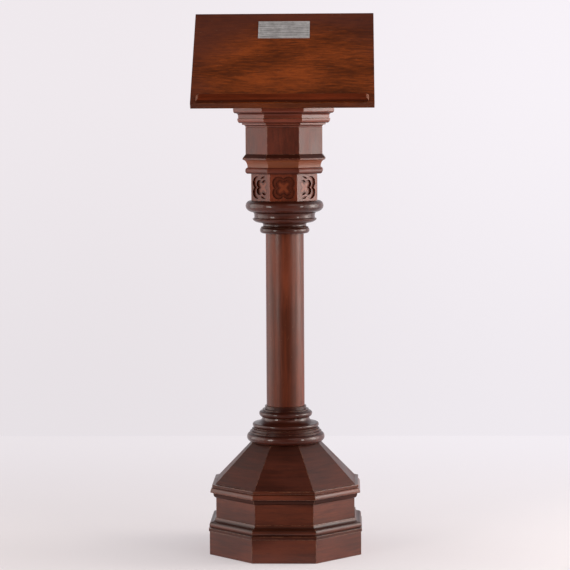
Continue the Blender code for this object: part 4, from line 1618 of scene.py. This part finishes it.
@dataclass(frozen=True)
class Lamp:
    """One area lamp of the studio, aimed at the column."""

    azimuth: float
    distance: float
    height: float
    width: float
    tall: float
    radiance: float
    aim: float = 0.9
    colour: Triple = (1.0, 0.955, 0.905)

    def build(self, light: Light) -> None:
        """Add the lamp.

        Args:
            light: Which lamp of the studio it is.
        """
        angle = radians(self.azimuth)
        place = Vector((sin(angle) * self.distance, -cos(angle) * self.distance, self.height))
        turn = (Vector((0.0, 0.0, self.aim)) - place).to_track_quat("-Z", "Y").to_euler()
        clear_selection()
        bpy.ops.object.light_add(type="AREA", location=place, rotation=turn)
        lamp = bpy.context.object
        lamp.name = light.name.lower()
        lamp.data.shape = "RECTANGLE"
        lamp.data.size = self.width
        lamp.data.size_y = self.tall
        lamp.data.energy = self.radiance * pi * self.width * self.tall
        lamp.data.color = self.colour


@dataclass
class Studio:
    """The pale floor, the room's light and the camera."""

    floor_colour: Triple = (0.80, 0.75, 0.765)
    floor_cloud: float = 0.96
    floor_cloud_scale: float = 2.2
    floor_roughness: float = 0.8
    floor_gloss: float = 0.2
    floor_drop: float = 0.5 * MM
    floor_front: float = -0.3
    floor_back: float = 1.86
    floor_half: float = 3.5
    floor_near: float = 0.35
    floor_fade: float = 0.9
    floor_reach: float = 1.0
    wall_left: Triple = (0.866, 0.817, 0.850)
    wall_right: Triple = (0.940, 0.896, 0.944)
    wall_reach: float = 0.13
    wall_turn: Range = (-0.1, 0.5)
    wall_head: Range = (0.45, 0.9)
    wall_lean: float = 0.35
    wall_foot: float = 0.925
    wall_foot_rise: Range = (-0.15, 0.03)
    room_tint: Triple = (1.0, 0.95, 0.96)
    room_front: float = 0.10
    room_back: float = 0.80
    room_floor: float = 0.45
    room_floor_rise: Range = (-0.5, -0.18)
    distance: float = 5.335
    height: float = 1.099
    focal_pixels: float = 2158.0
    frame_pixels: float = 570.0
    sensor: float = 36.0
    azimuth: float = radians(1.75)
    pitch: float = radians(4.69)
    roll: float = radians(-0.31)
    # Each lamp's azimuth in degrees, distance, height, width, height of its panel, and radiance.
    lamps: dict[Light, Lamp] = field(default_factory=lambda: {
        Light.LEFT_PANEL: Lamp(-92.0, 2.3, 1.1, 2.4, 2.2, 2.3),
        Light.RIGHT_PANEL: Lamp(92.0, 2.3, 1.1, 2.4, 2.2, 2.7),
        Light.LEFT_FRONT: Lamp(-45.0, 3.0, 1.0, 0.8, 1.3, 12.0),
        Light.RIGHT_FRONT: Lamp(53.0, 3.0, 1.0, 0.5, 1.3, 11.9),
        Light.RIGHT_SIDE: Lamp(92.0, 2.1, 1.0, 0.7, 1.3, 7.4),
        Light.OVERHEAD: Lamp(40.0, 2.6, 3.2, 2.6, 1.2, 1.7),
    })

    def wall_tint(self, kit: NodeKit, across: Socket, reach: float) -> Socket:
        """Give the wall's colour, a little brighter towards the right.

        Args:
            kit: What adds the nodes.
            across: Place or direction to the right.
            reach: Its value at the right side of the picture.

        Returns:
            The colour's socket.
        """
        return kit.mix_colours(self.wall_left, self.wall_right, kit.remap(across, (-reach, reach)))

    def floor_finish(self) -> Material:
        """Build the floor's finish, which keeps the shadow and fades into the wall.

        Returns:
            The material.
        """
        material, kit, shader = start_material("studio_floor")
        place = kit.place()
        cloud = kit.noise(place, self.floor_cloud_scale, detail=4.0)
        darker = tuple(value * self.floor_cloud for value in self.floor_colour)
        kit.feed(shader, {
            "Base Color": kit.mix_colours(darker, self.floor_colour, cloud),
            "Roughness": self.floor_roughness,
            "Specular IOR Level": self.floor_gloss,
        })
        across, back, _ = kit.axes(place)
        pale = kit.add("ShaderNodeEmission", [self.wall_tint(kit, across, self.floor_reach)])
        far = kit.remap(back, (self.floor_front, self.floor_back), self.floor_near, self.floor_fade)
        camera, mirrored = kit.rays()
        share = kit.math("MULTIPLY", kit.math("MAXIMUM", camera, mirrored), far)
        blend = kit.add("ShaderNodeMixShader", [share, shader.outputs["BSDF"], pale.outputs["Emission"]])
        kit.feed(material.node_tree.nodes["Material Output"], {"Surface": blend.outputs["Shader"]})
        return material

    def build_floor(self) -> None:
        """Lay the floor as a sheet that ends at the wall."""
        clear_selection()
        middle = (self.floor_front + self.floor_back) / 2
        bpy.ops.mesh.primitive_plane_add(size=1.0, location=(0.0, middle, -self.floor_drop))
        floor = bpy.context.object
        floor.name = "studio_floor"
        floor.scale = (2 * self.floor_half, self.floor_back - self.floor_front, 1.0)
        settle(floor)
        floor.data.materials.append(self.floor_finish())

    def build_room(self) -> None:
        """Light the room by a pale wall behind the lectern, with dimness in front and overhead."""
        world = bpy.data.worlds.new("studio_room")
        bpy.context.scene.world = world
        world.use_nodes = True
        kit = NodeKit(world.node_tree)
        across, back, up = kit.axes(kit.add("ShaderNodeTexCoord").outputs["Generated"])
        height = kit.math("SUBTRACT", up, kit.math("MULTIPLY", across, self.wall_lean))
        below = kit.remap(height, self.wall_head, 1.0, 0.0)
        wall = kit.math("MULTIPLY", kit.remap(back, self.wall_turn), below)
        share = kit.mix_values(self.room_front, self.room_back, wall)
        share = kit.math("ADD", share, kit.remap(up, self.room_floor_rise, self.room_floor, 0.0))
        room = kit.mix_colours(BLACK, self.room_tint, share)
        camera, mirrored = kit.rays()
        seen = kit.math("MAXIMUM", camera, kit.math("MULTIPLY", mirrored, wall))
        pale = self.wall_tint(kit, across, self.wall_reach)
        pale = kit.mix_colours(BLACK, pale, kit.remap(up, self.wall_foot_rise, self.wall_foot, 1.0))
        kit.feed(world.node_tree.nodes["Background"], {"Color": kit.mix_colours(room, pale, seen)})

    def build_camera(self) -> None:
        """Set the camera where the photograph was taken from."""
        clear_selection()
        bpy.ops.object.camera_add()
        camera = bpy.context.object
        camera.name = "studio_camera"
        camera.data.sensor_width = self.sensor
        camera.data.lens = self.focal_pixels / self.frame_pixels * self.sensor
        stand = Matrix.Translation((0.0, -self.distance, self.height))
        place = Matrix.Rotation(self.azimuth, 4, "Z") @ stand
        look = Matrix.Rotation(pi / 2 - self.pitch, 4, "X") @ Matrix.Rotation(self.roll, 4, "Z")
        camera.matrix_world = place @ look
        bpy.context.scene.camera = camera

    def build(self) -> None:
        """Build the whole studio."""
        self.build_floor()
        self.build_room()
        self.build_camera()
        for light, lamp in self.lamps.items():
            lamp.build(light)
        bpy.context.scene.view_settings.view_transform = "Standard"


def lectern_finishes() -> list[WoodFinish | PlateFinish]:
    """List the finishes, one for each slot of the record.

    Returns:
        The finishes.
    """
    brown = (0.057, 0.0110, 0.0047)
    return [
        WoodFinish("plinth_wood", (0.090, 0.0170, 0.0056), gloss=0.42, wear_and_highlight=0.7, arris_shine=0.8),
        WoodFinish("carcass_wood", (0.096, 0.0186, 0.0064), wear_and_highlight=0.7, arris_shine=0.8),
        # The slope boards get a painted shadow under the discs at their top.
        WoodFinish("slope_wood", brown, gloss=0.2, polish=0.0, roughness=0.45, painted_shadow=(0.225, 0.272)),
        WoodFinish("base_disc_wood", (0.054, 0.0096, 0.0042), gloss=0.2, polish=0.42,
                   polish_roughness=0.05),
        WoodFinish("shaft_wood", (0.118, 0.0220, 0.0070), streaks=95.0, stretch=0.05, polish=0.04,
                   gloss=0.26, roughness=0.42, marks=0.4),
        WoodFinish("capital_disc_wood", (0.056, 0.0104, 0.0046), gloss=0.2, polish=0.34,
                   polish_roughness=0.05),
        WoodFinish("carved_wood", (0.150, 0.0278, 0.0108), faded_and_lit=(0.24, 0.050, 0.016), gloss=0.22,
                   arris_shine=0.5),
        WoodFinish("drum_wood", (0.092, 0.0156, 0.0060), stretch=0.18, roughness=0.42, polish=0.06,
                   gloss=0.29),
        WoodFinish("cornice_wood", (0.162, 0.0285, 0.0112), arris_shine=0.4),
        WoodFinish("desk_box_wood", brown, polish=0.05),
        WoodFinish("desk_board_wood", (0.230, 0.0440, 0.0060), contrast=0.62, softness=0.11, streaks=240.0,
                   stretch=0.12, blotch=0.36, pores=0.75, polish=0.0, gloss=0.3, roughness=0.45, wear_and_highlight=0.15,
                   marks=0.4, handled=(40.03, 0.10, 0.27, 0.19)),
        WoodFinish("ledge_wood", (0.154, 0.0240, 0.0060), worn_and_highlit=(0.46, 0.30, 0.21), faded_and_lit=(0.36, 0.21, 0.14),
                   gloss=0.15, polish=0.0, wear_and_highlight=1.0),
        PlateFinish("plaque_metal", (0.46, 0.44, 0.445), (0.88, 0.86, 0.87)),
    ]


def main() -> None:
    """Build the lectern's pieces in order, dress them and light the studio."""
    logging.basicConfig(level=logging.INFO, format="%(message)s")
    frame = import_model()
    finishes = {finish.name: finish.build() for finish in lectern_finishes()}
    dresser = Dresser(finishes, frame["nodes"])
    Studio().build()
    for assembly in (Base(dresser), Column(dresser), Capital(dresser), Desk(dresser)):
        assembly.build()
    LOG.info("%d pieces dressed", dresser.count)


if __name__ == "__main__":
    main()
